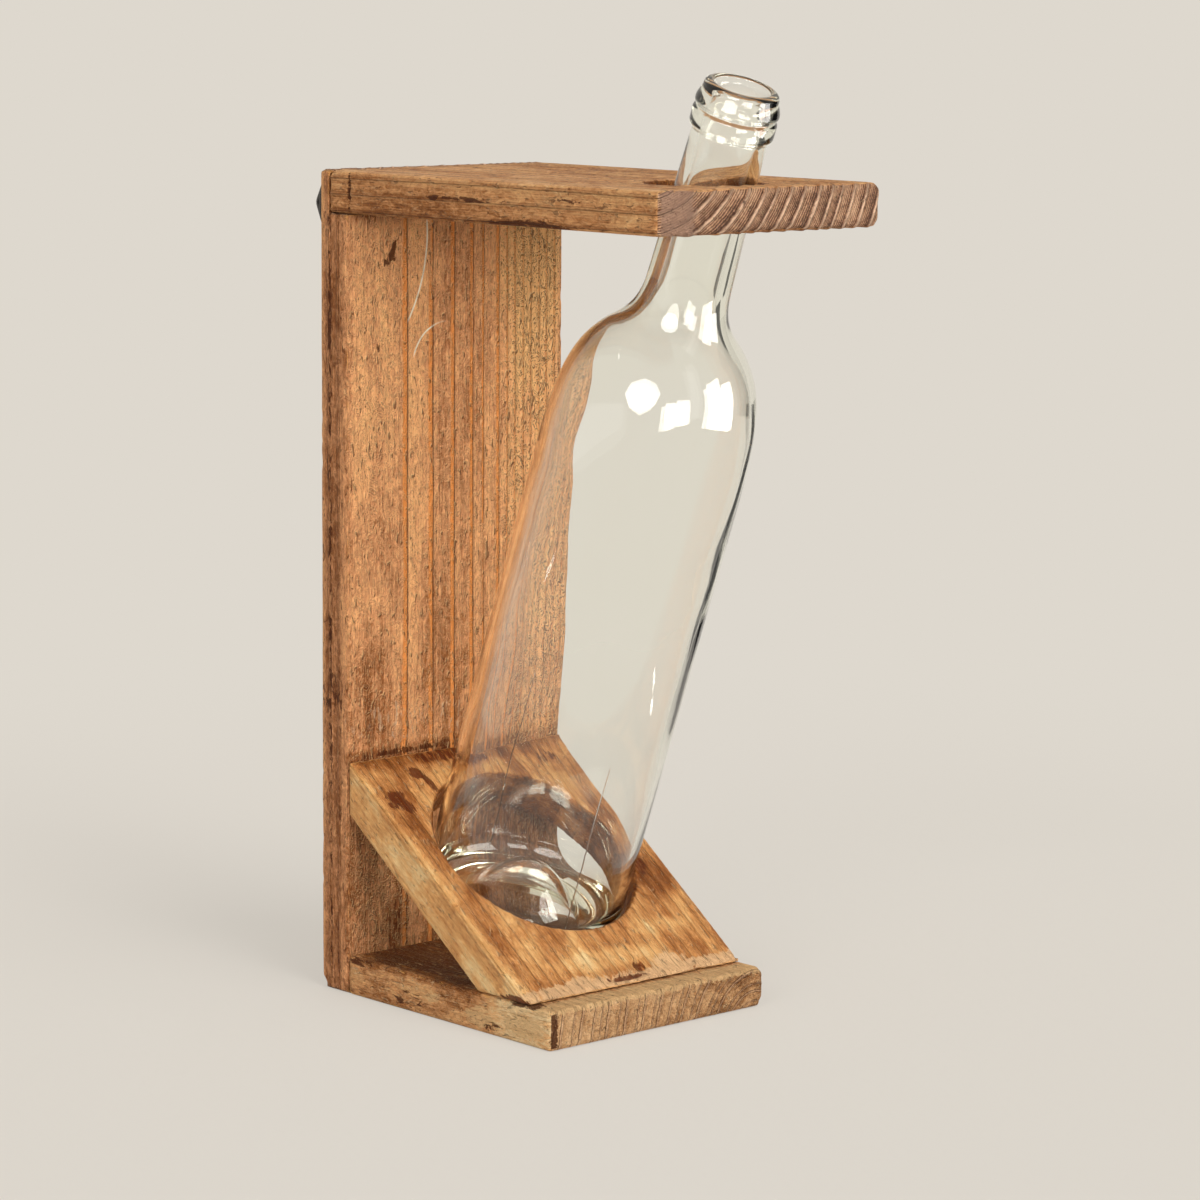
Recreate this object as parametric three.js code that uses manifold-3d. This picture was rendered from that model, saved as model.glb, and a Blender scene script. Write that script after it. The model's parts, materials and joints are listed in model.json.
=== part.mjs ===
// A wall vase: a glass bottle that leans forward in a frame of four wooden boards.
// Millimetres. X runs to the right, +Y towards the wall and Z up, so the front faces -Y.
// The pieces are laid out from the wall plane, y = 0, and from the ground, z = 0.
import * as THREE from 'three';
import * as BufferGeometryUtils from 'three/addons/utils/BufferGeometryUtils.js';
import Module from 'manifold-3d';

const wasm = await Module();
wasm.setup();

// The bottle, from its foot upwards
const bottleRadius = 37.7;
const bottleLean = THREE.MathUtils.degToRad(20.45);
const heelRadius = 5;
const restRingWidth = 3.7;
const restRingRise = 1;
const puntHeight = 20;
const baseGlass = 5.5;
const floorHeight = 9.5;
const floorFillet = 12.5;
const floorRingWidth = 8.1;
const glassWall = 2.6;
const bodyHeight = 187;
const shoulderRise = 50.4;
const shoulderTopRadius = 26;
const shoulderSlope = THREE.MathUtils.degToRad(38.9);
const neckFlareRise = 22.8;
const neckRootRadius = 15.1;
const neckLength = 55.3;
const neckTopRadius = 13.4;
const collarRise = 2;
const collarHeight = 5.2;
const collarRadius = 15;
const grooveWidth = 2;
const grooveDepth = 0.7;
const lipHeight = 8.3;
const lipRadius = 13.4;
const lipRound = 2;
const mouthRadius = 10;
const mouthRound = 0.8;

// The boards
const neckShowing = 33.55;
const backThickness = 16;
const backTongue = 5.7;
const shelfThickness = 15.7;
const shelfLip = 13;
const shelfCornerWidth = 11.5;
const shelfCornerDepth = 1.8;
const baseThickness = 14.5;
const baseLip = 9.8;
const seatThickness = 16.5;
const seatSlope = THREE.MathUtils.degToRad(36.1);
const seatBackHeight = 88.4;
const seatNoseHeight = 3.3;
const seatNoseRun = 6.9;
const seatSideWall = 11.9;
const seatHoleClearance = 2.9;
const seatReliefClearance = 0.8;
const neckHoleClearance = 6.2;
const boardEase = 0.9;
const cornerExtra = 0.8;
const holeEase = 1;

// The screws
const screwHeadRadius = 3.4;
const screwHeadDepth = 2.6;
const screwShankRadius = 1.75;
const screwTipLength = 4;
const screwSink = 0.4;
const shelfScrewLength = 34;
const shelfScrewInset = 32.5;
const baseScrewLength = 38;
const baseScrewInset = 22.5;
const seatScrewLength = 27;
const seatScrewInset = 14.5;
const seatScrewRise = 6;
const footScrewLength = 21;
const footScrewInset = 20.5;
const footScrewSetback = 19.5;

// The hangers on the back
const hangerDrop = 13;
const hangerInset = 4.4;
const strapSheet = 0.8;
const strapWidth = 8;
const strapLength = 19.5;
const strapCurlEnd = THREE.MathUtils.degToRad(-375);
const ringWireRadius = 1;
const ringReach = 15;
const ringHalfWidth = 8;
const ringCornerRadius = 2.6;
const ringStand = THREE.MathUtils.degToRad(61);
const panHeadRadius = 2.8;
const panHeadHeight = 2;
const panShankRadius = 1.3;
const panScrewLength = 11;

// Room between pieces that touch or nearly touch
const restGap = 0.3;
const holeGap = 0.3;
const wireGap = 0.3;
const overshoot = 1;

// Facets
const bottleFacets = 52;
const curveSteps = 7;
const boreFacets = 64;
const screwFacets = 14;
const easeSteps = 2;
const curlSteps = 16;
const ringSteps = 36;
const ringFacets = 8;
const creaseAngle = THREE.MathUtils.degToRad(30);

// How far the handles of the glass's curves reach, as parts of a curve's width or height
const uprightPull = 0.66;
const slopePull = 0.22;
const domePull = 0.45;
const skirtPull = 0.7;
const skirtRise = 0.25;

// What follows from those sizes: where the bottle's heel rests on the base and on the back board
const leanSin = Math.sin(bottleLean);
const leanCos = Math.cos(bottleLean);
const heelArm = bottleRadius - heelRadius;
const bottleFootY = -backThickness - restGap - heelRadius - heelArm * leanCos + heelRadius * leanSin;
const bottleFootZ = baseThickness + restGap + heelRadius + heelArm * leanSin - heelRadius * leanCos;

const shoulderTop = bodyHeight + shoulderRise;
const neckStart = shoulderTop + neckFlareRise;
const neckEnd = neckStart + neckLength;
const collarTop = neckEnd + collarRise + collarHeight;
const bottleHeight = collarTop + grooveWidth + lipHeight;
const neckTaper = (neckRootRadius - neckTopRadius) / neckLength;

// The holes follow the bottle, and the boards follow the holes
const boardCornerRadius = boardEase + cornerExtra;
const backHeight = bottleFootZ + bottleHeight * leanCos - neckShowing;
const seatTan = Math.tan(seatSlope);
const seatCross = (seatBackHeight - bottleFootZ + (bottleFootY + backThickness) * seatTan)
  / (leanCos + leanSin * seatTan);
const seatHoleY = bottleFootY - seatCross * leanSin;
const seatHoleZ = bottleFootZ + seatCross * leanCos;
const seatHoleRadius = bottleRadius + seatHoleClearance;
const boardWidth = 2 * (seatHoleRadius + seatSideWall);
const shelfCross = (backHeight - bottleFootZ) / leanCos;
const neckAtShelf = neckRootRadius - (shelfCross - neckStart) * neckTaper;
const neckHoleRadius = collarRadius + neckHoleClearance;
const neckHoleFront = bottleFootY - shelfCross * leanSin - neckAtShelf / leanCos - restGap;
const neckHoleY = neckHoleFront + neckHoleRadius;
const shelfReach = shelfLip - neckHoleFront;
const seatRun = (seatBackHeight - baseThickness - seatNoseHeight) / seatTan;
const seatReach = backThickness + seatRun + seatNoseRun;
const baseReach = seatReach + baseLip;
const seatUnderside = seatBackHeight - seatThickness / Math.cos(seatSlope);
const seatFootRun = (seatUnderside - baseThickness) / seatTan;

const wood = new THREE.MeshStandardMaterial({ color: 0xa9713f, roughness: 0.75, metalness: 0 });
const shelfWood = new THREE.MeshStandardMaterial({ color: 0x8f5d34, roughness: 0.8, metalness: 0 });
const seatWood = new THREE.MeshStandardMaterial({ color: 0xb97c42, roughness: 0.7, metalness: 0 });
const glass = new THREE.MeshStandardMaterial({
  color: 0xdfe8de, roughness: 0.05, metalness: 0, transparent: true, opacity: 0.35
});
const steel = new THREE.MeshStandardMaterial({ color: 0x8d8f92, roughness: 0.4, metalness: 1 });
const blackIron = new THREE.MeshStandardMaterial({ color: 0x1c1917, roughness: 0.5, metalness: 0.6 });

// Turns a closed geometry, moved by a matrix, into a solid that can be joined and cut.
function toSolid(geometry, matrix = new THREE.Matrix4()) {
  const bare = geometry.clone().applyMatrix4(matrix);
  bare.deleteAttribute('normal');
  bare.deleteAttribute('uv');
  const merged = BufferGeometryUtils.mergeVertices(bare);
  return new wasm.Manifold(new wasm.Mesh({
    numProp: 3,
    vertProperties: new Float32Array(merged.attributes.position.array),
    triVerts: new Uint32Array(merged.index.array)
  }));
}

function toGeometry(solid) {
  const mesh = solid.getMesh();
  const geometry = new THREE.BufferGeometry();
  geometry.setAttribute('position', new THREE.BufferAttribute(mesh.vertProperties, 3));
  geometry.setIndex(new THREE.BufferAttribute(mesh.triVerts, 1));
  return BufferGeometryUtils.toCreasedNormals(geometry, creaseAngle);
}

// A closed outline through corners [x, y, radius]; a corner without a radius stays sharp.
function roundedOutline(corners) {
  const shape = new THREE.Shape();
  corners.forEach(([x, y, radius = 0], index) => {
    const corner = new THREE.Vector2(x, y);
    const before = new THREE.Vector2(...corners.at(index - 1));
    const after = new THREE.Vector2(...corners[(index + 1) % corners.length]);
    const start = before.sub(corner).setLength(radius).add(corner);
    const end = after.sub(corner).setLength(radius).add(corner);
    if (index === 0) {
      shape.moveTo(start.x, start.y);
    } else {
      shape.lineTo(start.x, start.y);
    }
    if (radius > 0) {
      shape.quadraticCurveTo(x, y, end.x, end.y);
    }
  });
  shape.closePath();
  return shape;
}

// A board with its two ends eased, extruded along Z and centred on z = 0.
function easedExtrusion(outline, length) {
  const geometry = new THREE.ExtrudeGeometry(outline, {
    depth: length - 2 * boardEase,
    curveSegments: easeSteps,
    bevelSize: boardEase,
    bevelThickness: boardEase,
    bevelOffset: -boardEase,
    bevelSegments: easeSteps
  });
  return geometry.translate(0, 0, boardEase - length / 2);
}

// Stands a side view, drawn as (y, z), up across the width of the vase.
const sideView = new THREE.Matrix4().makeBasis(
  new THREE.Vector3(0, 1, 0),
  new THREE.Vector3(0, 0, 1),
  new THREE.Vector3(1, 0, 0)
);

function lathe(points, facets) {
  return new THREE.LatheGeometry(points, facets).rotateX(Math.PI / 2);
}

// A matrix that moves a solid made along +Z to a place, pointing along a direction.
function aim(place, direction) {
  const turn = new THREE.Quaternion().setFromUnitVectors(new THREE.Vector3(0, 0, 1), direction);
  return new THREE.Matrix4().compose(place, turn, new THREE.Vector3(1, 1, 1));
}

function bore(radius, from, to) {
  const cylinder = new THREE.CylinderGeometry(radius, radius, to - from, boreFacets);
  return cylinder.rotateX(Math.PI / 2).translate(0, 0, (from + to) / 2);
}

// The worn edge round a hole's mouth: a shallow cone that opens along +Z at z = 0.
function mouthEase(radius) {
  return lathe([
    new THREE.Vector2(0, -holeEase),
    new THREE.Vector2(radius, -holeEase),
    new THREE.Vector2(radius + holeEase + overshoot, overshoot),
    new THREE.Vector2(0, overshoot)
  ], boreFacets);
}

// A countersunk wood screw that points along +Z, its head's top at z = 0.
function woodScrew(length) {
  return lathe([
    new THREE.Vector2(0, 0),
    new THREE.Vector2(screwHeadRadius, 0),
    new THREE.Vector2(screwShankRadius, screwHeadDepth),
    new THREE.Vector2(screwShankRadius, length - screwTipLength),
    new THREE.Vector2(0, length)
  ], screwFacets);
}

// The hole for that screw, open past the head.
function woodScrewHole(length) {
  return lathe([
    new THREE.Vector2(0, -screwSink - overshoot),
    new THREE.Vector2(screwHeadRadius + holeGap, -screwSink - overshoot),
    new THREE.Vector2(screwHeadRadius + holeGap, 0),
    new THREE.Vector2(screwShankRadius + holeGap, screwHeadDepth),
    new THREE.Vector2(screwShankRadius + holeGap, length - screwTipLength + holeGap),
    new THREE.Vector2(0, length + holeGap)
  ], screwFacets);
}

// A round-headed screw that points along +Z, with the head's underside at z = 0.
function panScrew() {
  const dome = new THREE.EllipseCurve(0, 0, panHeadRadius, panHeadHeight, -Math.PI / 2, 0);
  return lathe([
    ...dome.getPoints(easeSteps + 1),
    new THREE.Vector2(panShankRadius, 0),
    new THREE.Vector2(panShankRadius, panScrewLength - screwTipLength),
    new THREE.Vector2(0, panScrewLength)
  ], screwFacets);
}

function panScrewHole() {
  return lathe([
    new THREE.Vector2(0, -panHeadHeight),
    new THREE.Vector2(panShankRadius + holeGap, -panHeadHeight),
    new THREE.Vector2(panShankRadius + holeGap, panScrewLength - screwTipLength + holeGap),
    new THREE.Vector2(0, panScrewLength + holeGap)
  ], screwFacets);
}

// Every wood screw: its name, how far in from the board's side and where its head sits, which way
// it is driven and how long it is.
const intoWood = new THREE.Vector3(0, -1, 0);
const upwards = new THREE.Vector3(0, 0, 1);
const screwRows = [
  { name: 'shelf_screw', inset: shelfScrewInset, y: -screwSink, z: backHeight - shelfThickness / 2,
    direction: intoWood, length: shelfScrewLength },
  { name: 'base_screw', inset: baseScrewInset, y: -screwSink, z: baseThickness / 2,
    direction: intoWood, length: baseScrewLength },
  { name: 'seat_screw', inset: seatScrewInset, y: -screwSink, z: seatUnderside + seatScrewRise,
    direction: intoWood, length: seatScrewLength },
  { name: 'foot_screw', inset: footScrewInset, y: footScrewSetback - seatReach, z: screwSink,
    direction: upwards, length: footScrewLength }
];
const screws = screwRows.flatMap((row) => ['left', 'right'].map((side) => {
  const x = (side === 'left' ? -1 : 1) * (boardWidth / 2 - row.inset);
  return { ...row, name: `${row.name}_${side}`, place: new THREE.Vector3(x, row.y, row.z) };
}));

const hangerX = boardWidth / 2 - hangerInset;
const hangerZ = backHeight - hangerDrop;
const panScrewReach = strapLength - strapWidth / 2;

// Takes the holes of the screws whose names start with the given words out of a board.
function drill(board, ...rows) {
  const used = screws.filter((screw) => rows.some((row) => screw.name.startsWith(row)));
  return used.reduce((solid, screw) => {
    const hole = toSolid(woodScrewHole(screw.length), aim(screw.place, screw.direction));
    return solid.subtract(hole);
  }, board);
}

// Takes the holes of the two hanger screws out of a board.
function drillForHangers(board) {
  const reach = hangerX - panScrewReach;
  return [-reach, reach].reduce((solid, x) => {
    const place = new THREE.Vector3(x, strapSheet + holeGap, hangerZ);
    return solid.subtract(toSolid(panScrewHole(), aim(place, intoWood)));
  }, board);
}

function backBoard() {
  const ledge = backHeight - shelfThickness;
  const outline = roundedOutline([
    [0, 0, boardCornerRadius],
    [0, backHeight, boardCornerRadius],
    [-backTongue, backHeight],
    [-backTongue, ledge],
    [-backThickness, ledge],
    [-backThickness, 0]
  ].reverse());
  const board = toSolid(easedExtrusion(outline, boardWidth), sideView);
  return toGeometry(drillForHangers(drill(board, 'shelf', 'base', 'seat')));
}

function topShelf() {
  const half = boardWidth / 2;
  const outline = roundedOutline([
    [-half, -backTongue],
    [-half, shelfCornerDepth - shelfReach, boardCornerRadius],
    [shelfCornerWidth - half, -shelfReach, boardCornerRadius],
    [half, -shelfReach, boardCornerRadius],
    [half, -backTongue]
  ]);
  const level = new THREE.Matrix4().makeTranslation(0, 0, backHeight - shelfThickness / 2);
  const neckHole = bore(neckHoleRadius, -shelfThickness - overshoot, overshoot);
  const atHole = new THREE.Matrix4().makeTranslation(0, neckHoleY, backHeight);
  const board = toSolid(easedExtrusion(outline, shelfThickness), level)
    .subtract(toSolid(neckHole, atHole))
    .subtract(toSolid(mouthEase(neckHoleRadius), atHole));
  return toGeometry(drillForHangers(drill(board, 'shelf')));
}

function baseBoard() {
  const outline = roundedOutline([
    [-baseReach, 0, boardCornerRadius],
    [-backThickness, 0],
    [-backThickness, baseThickness],
    [-baseReach, baseThickness, boardCornerRadius]
  ]);
  const board = toSolid(easedExtrusion(outline, boardWidth), sideView);
  return toGeometry(drill(board, 'base', 'foot'));
}

// The hole runs square through the seat, and its lower end is relieved along the leaning bottle.
function seatBoard() {
  const outline = roundedOutline([
    [-seatReach, baseThickness],
    [-backThickness - seatFootRun, baseThickness],
    [-backThickness, seatUnderside],
    [-backThickness, seatBackHeight],
    [-backThickness - seatRun, baseThickness + seatNoseHeight]
  ]);
  const centre = new THREE.Vector3(0, seatHoleY, seatHoleZ);
  const seatNormal = new THREE.Vector3(0, -Math.sin(seatSlope), Math.cos(seatSlope));
  const bottleAxis = new THREE.Vector3(0, -leanSin, leanCos);
  const square = bore(seatHoleRadius, -seatThickness - overshoot, overshoot);
  const relief = bore(bottleRadius + seatReliefClearance, -bottleRadius, bottleRadius);
  const board = toSolid(easedExtrusion(outline, boardWidth), sideView)
    .subtract(toSolid(square, aim(centre, seatNormal)))
    .subtract(toSolid(mouthEase(seatHoleRadius), aim(centre, seatNormal)))
    .subtract(toSolid(relief, aim(centre, bottleAxis)));
  return toGeometry(drill(board, 'seat', 'foot'));
}

function arcPoints(x, y, radius, from, to) {
  return new THREE.EllipseCurve(x, y, radius, radius, from, to).getPoints(easeSteps + 1);
}

function curvePoints(...ends) {
  const corners = ends.map(([x, y]) => new THREE.Vector2(x, y));
  return new THREE.CubicBezierCurve(...corners).getPoints(curveSteps);
}

// Moves a line of points, drawn up the outside, square to itself into the glass.
function inset(points, distance) {
  return points.map((point, index) => {
    const before = points[Math.max(index - 1, 0)];
    const after = points[Math.min(index + 1, points.length - 1)];
    const along = after.clone().sub(before).normalize();
    return new THREE.Vector2(point.x - along.y * distance, point.y + along.x * distance);
  });
}

// The outside from the straight body over the shoulder to the root of the neck: two curves that
// meet where the shoulder turns from bulging to hollow, at the shoulder's slope.
function shoulderPoints() {
  const along = new THREE.Vector2(-Math.sin(shoulderSlope), Math.cos(shoulderSlope));
  const turn = new THREE.Vector2(shoulderTopRadius, shoulderTop);
  const below = turn.clone().addScaledVector(along, -shoulderRise * slopePull);
  const above = turn.clone().addScaledVector(along, neckFlareRise * slopePull);
  const bulge = curvePoints([bottleRadius, bodyHeight],
    [bottleRadius, bodyHeight + shoulderRise * uprightPull], below, turn);
  const flare = curvePoints(turn, above,
    [neckRootRadius, neckStart - neckFlareRise * uprightPull], [neckRootRadius, neckStart]);
  return [...bulge, ...flare.slice(1)];
}

// The bottle's section, as (radius, height): from the punt's top, round the heel, up the outside,
// over the lip and down the inside to the middle of the floor.
function bottleProfile() {
  const quarter = Math.PI / 2;
  const puntRadius = heelArm - restRingWidth;
  const innerRadius = bottleRadius - glassWall;
  const floorRadius = innerRadius - floorRingWidth;
  const domeTop = puntHeight + baseGlass;
  const shoulder = shoulderPoints();
  return [
    ...curvePoints([0, puntHeight], [puntRadius * domePull, puntHeight],
      [puntRadius * skirtPull, puntHeight * skirtRise], [puntRadius, restRingRise]),
    ...arcPoints(heelArm, heelRadius, heelRadius, -quarter, 0),
    ...shoulder,
    new THREE.Vector2(neckTopRadius, neckEnd),
    new THREE.Vector2(collarRadius, neckEnd + collarRise),
    new THREE.Vector2(collarRadius, collarTop),
    new THREE.Vector2(collarRadius - grooveDepth, collarTop + grooveWidth / 2),
    new THREE.Vector2(collarRadius, collarTop + grooveWidth),
    ...arcPoints(lipRadius - lipRound, bottleHeight - lipRound, lipRound, 0, quarter),
    new THREE.Vector2(mouthRadius + mouthRound, bottleHeight),
    new THREE.Vector2(mouthRadius, bottleHeight - mouthRound),
    new THREE.Vector2(mouthRadius, neckEnd),
    new THREE.Vector2(neckTopRadius - glassWall, neckEnd - collarHeight),
    ...inset(shoulder, glassWall).reverse(),
    ...curvePoints([innerRadius, floorHeight + floorFillet], [innerRadius, floorHeight],
      [floorRadius, floorHeight], [floorRadius, floorHeight]),
    ...curvePoints([floorRadius, floorHeight], [floorRadius * skirtPull, floorHeight],
      [floorRadius * domePull, domeTop], [0, domeTop]).slice(1)
  ];
}

function glassBottle() {
  return lathe(bottleProfile(), bottleFacets);
}

// A strip folded round the ring's wire, seen from above and raised along Z; the wire's middle is
// at the origin of the hanger.
const curlInner = ringWireRadius + wireGap;
const curlOuter = curlInner + strapSheet;

function sheet(shape, depth) {
  const flat = new THREE.ExtrudeGeometry(shape, { depth, bevelEnabled: false, curveSegments: curlSteps });
  return flat.translate(0, 0, -depth / 2);
}

function hangerStrap() {
  const fold = new THREE.Shape();
  fold.moveTo(strapLength, -curlOuter);
  fold.lineTo(0, -curlOuter);
  fold.absarc(0, 0, curlOuter, -Math.PI / 2, strapCurlEnd, true);
  fold.absarc(0, 0, curlInner, strapCurlEnd, -Math.PI / 2, false);
  fold.lineTo(strapLength, -curlInner);
  fold.closePath();
  const strip = sheet(fold, strapWidth);

  const plan = new THREE.Shape();
  plan.moveTo(-curlOuter - overshoot, -strapWidth / 2 - overshoot);
  plan.lineTo(panScrewReach / 2, -strapWidth / 2 - overshoot);
  plan.lineTo(panScrewReach / 2, -strapWidth / 2);
  plan.absarc(panScrewReach, 0, strapWidth / 2, -Math.PI / 2, Math.PI / 2, false);
  plan.lineTo(panScrewReach / 2, strapWidth / 2);
  plan.lineTo(panScrewReach / 2, strapWidth / 2 + overshoot);
  plan.lineTo(-curlOuter - overshoot, strapWidth / 2 + overshoot);
  plan.closePath();
  const trim = sheet(plan, 2 * (curlOuter + overshoot)).rotateX(Math.PI / 2);

  const screwPlace = new THREE.Vector3(panScrewReach, 0, 0);
  return toGeometry(toSolid(strip)
    .intersect(toSolid(trim))
    .subtract(toSolid(panScrewHole(), aim(screwPlace, intoWood))));
}

// A wire loop of three sides: one along Z through the origin, and the point towards +X.
function hangerRing() {
  const corners = [
    new THREE.Vector3(0, 0, -ringHalfWidth),
    new THREE.Vector3(ringReach, 0, 0),
    new THREE.Vector3(0, 0, ringHalfWidth)
  ];
  const loop = new THREE.CurvePath();
  const bends = corners.map((corner, index) => {
    const before = corners.at(index - 1).clone().sub(corner).setLength(ringCornerRadius).add(corner);
    const after = corners[(index + 1) % 3].clone().sub(corner).setLength(ringCornerRadius).add(corner);
    return new THREE.QuadraticBezierCurve3(before, corner, after);
  });
  bends.forEach((bend, index) => {
    loop.add(bend);
    loop.add(new THREE.LineCurve3(bend.v2, bends[(index + 1) % 3].v0));
  });
  return new THREE.TubeGeometry(loop, ringSteps, ringWireRadius, ringFacets, true);
}

function makePiece(name, geometry, material) {
  const piece = new THREE.Mesh(geometry, material);
  piece.name = name;
  return piece;
}

function makeHanger(side) {
  const hanger = new THREE.Group();
  const ring = makePiece(`hanger_ring_${side}`, hangerRing(), blackIron);
  ring.rotation.z = ringStand;
  const screw = makePiece(`hanger_screw_${side}`, panScrew(), blackIron);
  screw.position.set(panScrewReach, strapSheet + holeGap - curlOuter, 0);
  screw.quaternion.setFromUnitVectors(upwards, intoWood);
  hanger.add(makePiece(`hanger_strap_${side}`, hangerStrap(), blackIron), ring, screw);
  hanger.position.set(side === 'left' ? -hangerX : hangerX, curlOuter, hangerZ);
  hanger.rotation.y = side === 'left' ? 0 : Math.PI;
  return hanger;
}

const vase = new THREE.Group();
const fromWall = new THREE.Group();
fromWall.position.y = baseReach / 2;
vase.add(fromWall);

fromWall.add(
  makePiece('back_board', backBoard(), wood),
  makePiece('top_shelf', topShelf(), shelfWood),
  makePiece('base_board', baseBoard(), wood),
  makePiece('seat_board', seatBoard(), seatWood)
);

const bottle = makePiece('glass_bottle', glassBottle(), glass);
bottle.position.set(0, bottleFootY, bottleFootZ);
bottle.rotation.x = bottleLean;
fromWall.add(bottle);

screws.forEach((screw) => {
  const piece = makePiece(screw.name, woodScrew(screw.length), steel);
  piece.applyMatrix4(aim(screw.place, screw.direction));
  fromWall.add(piece);
});

fromWall.add(makeHanger('left'), makeHanger('right'));

export default vase;
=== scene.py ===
import json
import math
import bmesh
import bpy
import numpy as np
from mathutils import Matrix, Quaternion, Vector, noise
from mathutils.geometry import interpolate_bezier


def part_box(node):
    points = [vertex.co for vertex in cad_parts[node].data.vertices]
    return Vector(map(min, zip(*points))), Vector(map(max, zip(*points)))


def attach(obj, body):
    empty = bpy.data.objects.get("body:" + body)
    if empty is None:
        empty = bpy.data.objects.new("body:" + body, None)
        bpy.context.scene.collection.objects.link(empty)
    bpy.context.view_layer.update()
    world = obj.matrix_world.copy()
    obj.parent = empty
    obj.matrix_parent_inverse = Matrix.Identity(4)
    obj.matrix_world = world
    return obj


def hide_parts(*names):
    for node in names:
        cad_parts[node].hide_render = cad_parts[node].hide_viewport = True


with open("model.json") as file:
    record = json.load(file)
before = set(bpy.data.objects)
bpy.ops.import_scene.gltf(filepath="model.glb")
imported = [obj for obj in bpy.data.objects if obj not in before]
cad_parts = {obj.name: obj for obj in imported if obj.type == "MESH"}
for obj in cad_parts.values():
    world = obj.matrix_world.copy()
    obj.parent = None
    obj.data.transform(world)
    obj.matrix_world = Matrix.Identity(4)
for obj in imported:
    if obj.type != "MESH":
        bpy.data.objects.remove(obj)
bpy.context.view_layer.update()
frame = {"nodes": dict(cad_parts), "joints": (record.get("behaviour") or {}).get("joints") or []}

# A glass bottle leaning in four reclaimed boards. Metres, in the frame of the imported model:
# X to the right, Y towards the wall, Z up.
mm = 0.001
nodes = frame["nodes"]
liftAxis = Vector(next(j["axis"] for j in frame["joints"] if j["name"] == "bottle_lift")).normalized()


def srgb(red, green, blue):
    # a colour as it is seen, 0 to 255, made linear
    parts = [c / 255 for c in (red, green, blue)]
    return tuple(c / 12.92 if c <= 0.04045 else ((c + 0.055) / 1.055) ** 2.4 for c in parts)


background = srgb(222, 216, 206)


# Small helpers for node trees

def place(tree, kind, inputs=(), **settings):
    made = tree.nodes.new(kind)
    for name, value in settings.items():
        setattr(made, name, value)
    pairs = inputs.items() if isinstance(inputs, dict) else enumerate(inputs)
    for key, value in pairs:
        if isinstance(value, bpy.types.NodeSocket):
            tree.links.new(value, made.inputs[key])
        else:
            made.inputs[key].default_value = value
    return made


def calc(tree, operation, *values, clamp=False):
    return place(tree, "ShaderNodeMath", values, operation=operation, use_clamp=clamp).outputs[0]


def vectorMath(tree, operation, *values):
    return place(tree, "ShaderNodeVectorMath", values, operation=operation).outputs


def ramp(tree, value, low, high, outLow=0.0, outHigh=1.0):
    values = {"Value": value, "From Min": low, "From Max": high, "To Min": outLow, "To Max": outHigh}
    return place(tree, "ShaderNodeMapRange", values, interpolation_type="SMOOTHSTEP").outputs["Result"]


def mixColour(tree, factor, first, second):
    made = place(tree, "ShaderNodeMix", data_type="RGBA")
    for socket, value in ((made.inputs[0], factor), (made.inputs[6], first), (made.inputs[7], second)):
        if isinstance(value, bpy.types.NodeSocket):
            tree.links.new(value, socket)
        elif isinstance(value, (int, float)):
            socket.default_value = value
        else:
            socket.default_value = (*value, 1.0)
    return made.outputs[2]


def attribute(tree, name):
    return place(tree, "ShaderNodeAttribute", attribute_name=name).outputs["Fac"]


def stretch(tree, vector, scale, turn=(0.0, 0.0, 0.0)):
    return place(tree, "ShaderNodeMapping", {"Vector": vector, "Rotation": turn, "Scale": scale}).outputs[0]


def alongGrain(tree, vector, squeeze):
    # the grain lies along the vector's Z, and a pattern squeezed there looks drawn out along it
    return stretch(tree, vector, (1.0, 1.0, squeeze))


def grain(tree, vector, scale, detail=3.0, roughness=0.55, distortion=0.0):
    values = {"Vector": vector, "Scale": scale, "Detail": detail, "Roughness": roughness,
              "Distortion": distortion}
    return place(tree, "ShaderNodeTexNoise", values).outputs["Fac"]


def newGroup(name, inputs, outputs):
    # vectors and values by name; gives the tree, its incoming and its outgoing sockets
    tree = bpy.data.node_groups.new(name, "ShaderNodeTree")
    for label in inputs:
        kind = "NodeSocketVector" if label == "Vector" else "NodeSocketFloat"
        tree.interface.new_socket(name=label, in_out="INPUT", socket_type=kind)
    for label in outputs:
        tree.interface.new_socket(name=label, in_out="OUTPUT", socket_type="NodeSocketFloat")
    return tree, tree.nodes.new("NodeGroupInput").outputs, tree.nodes.new("NodeGroupOutput").inputs


def useGroup(tree, group, inputs):
    return place(tree, "ShaderNodeGroup", inputs, node_tree=group).outputs


def newMaterial(name):
    material = bpy.data.materials.new(name)
    material.use_nodes = True
    tree = material.node_tree
    tree.nodes.clear()
    out = tree.nodes.new("ShaderNodeOutputMaterial")
    return material, tree, out


# Wood: shared effects

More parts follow.
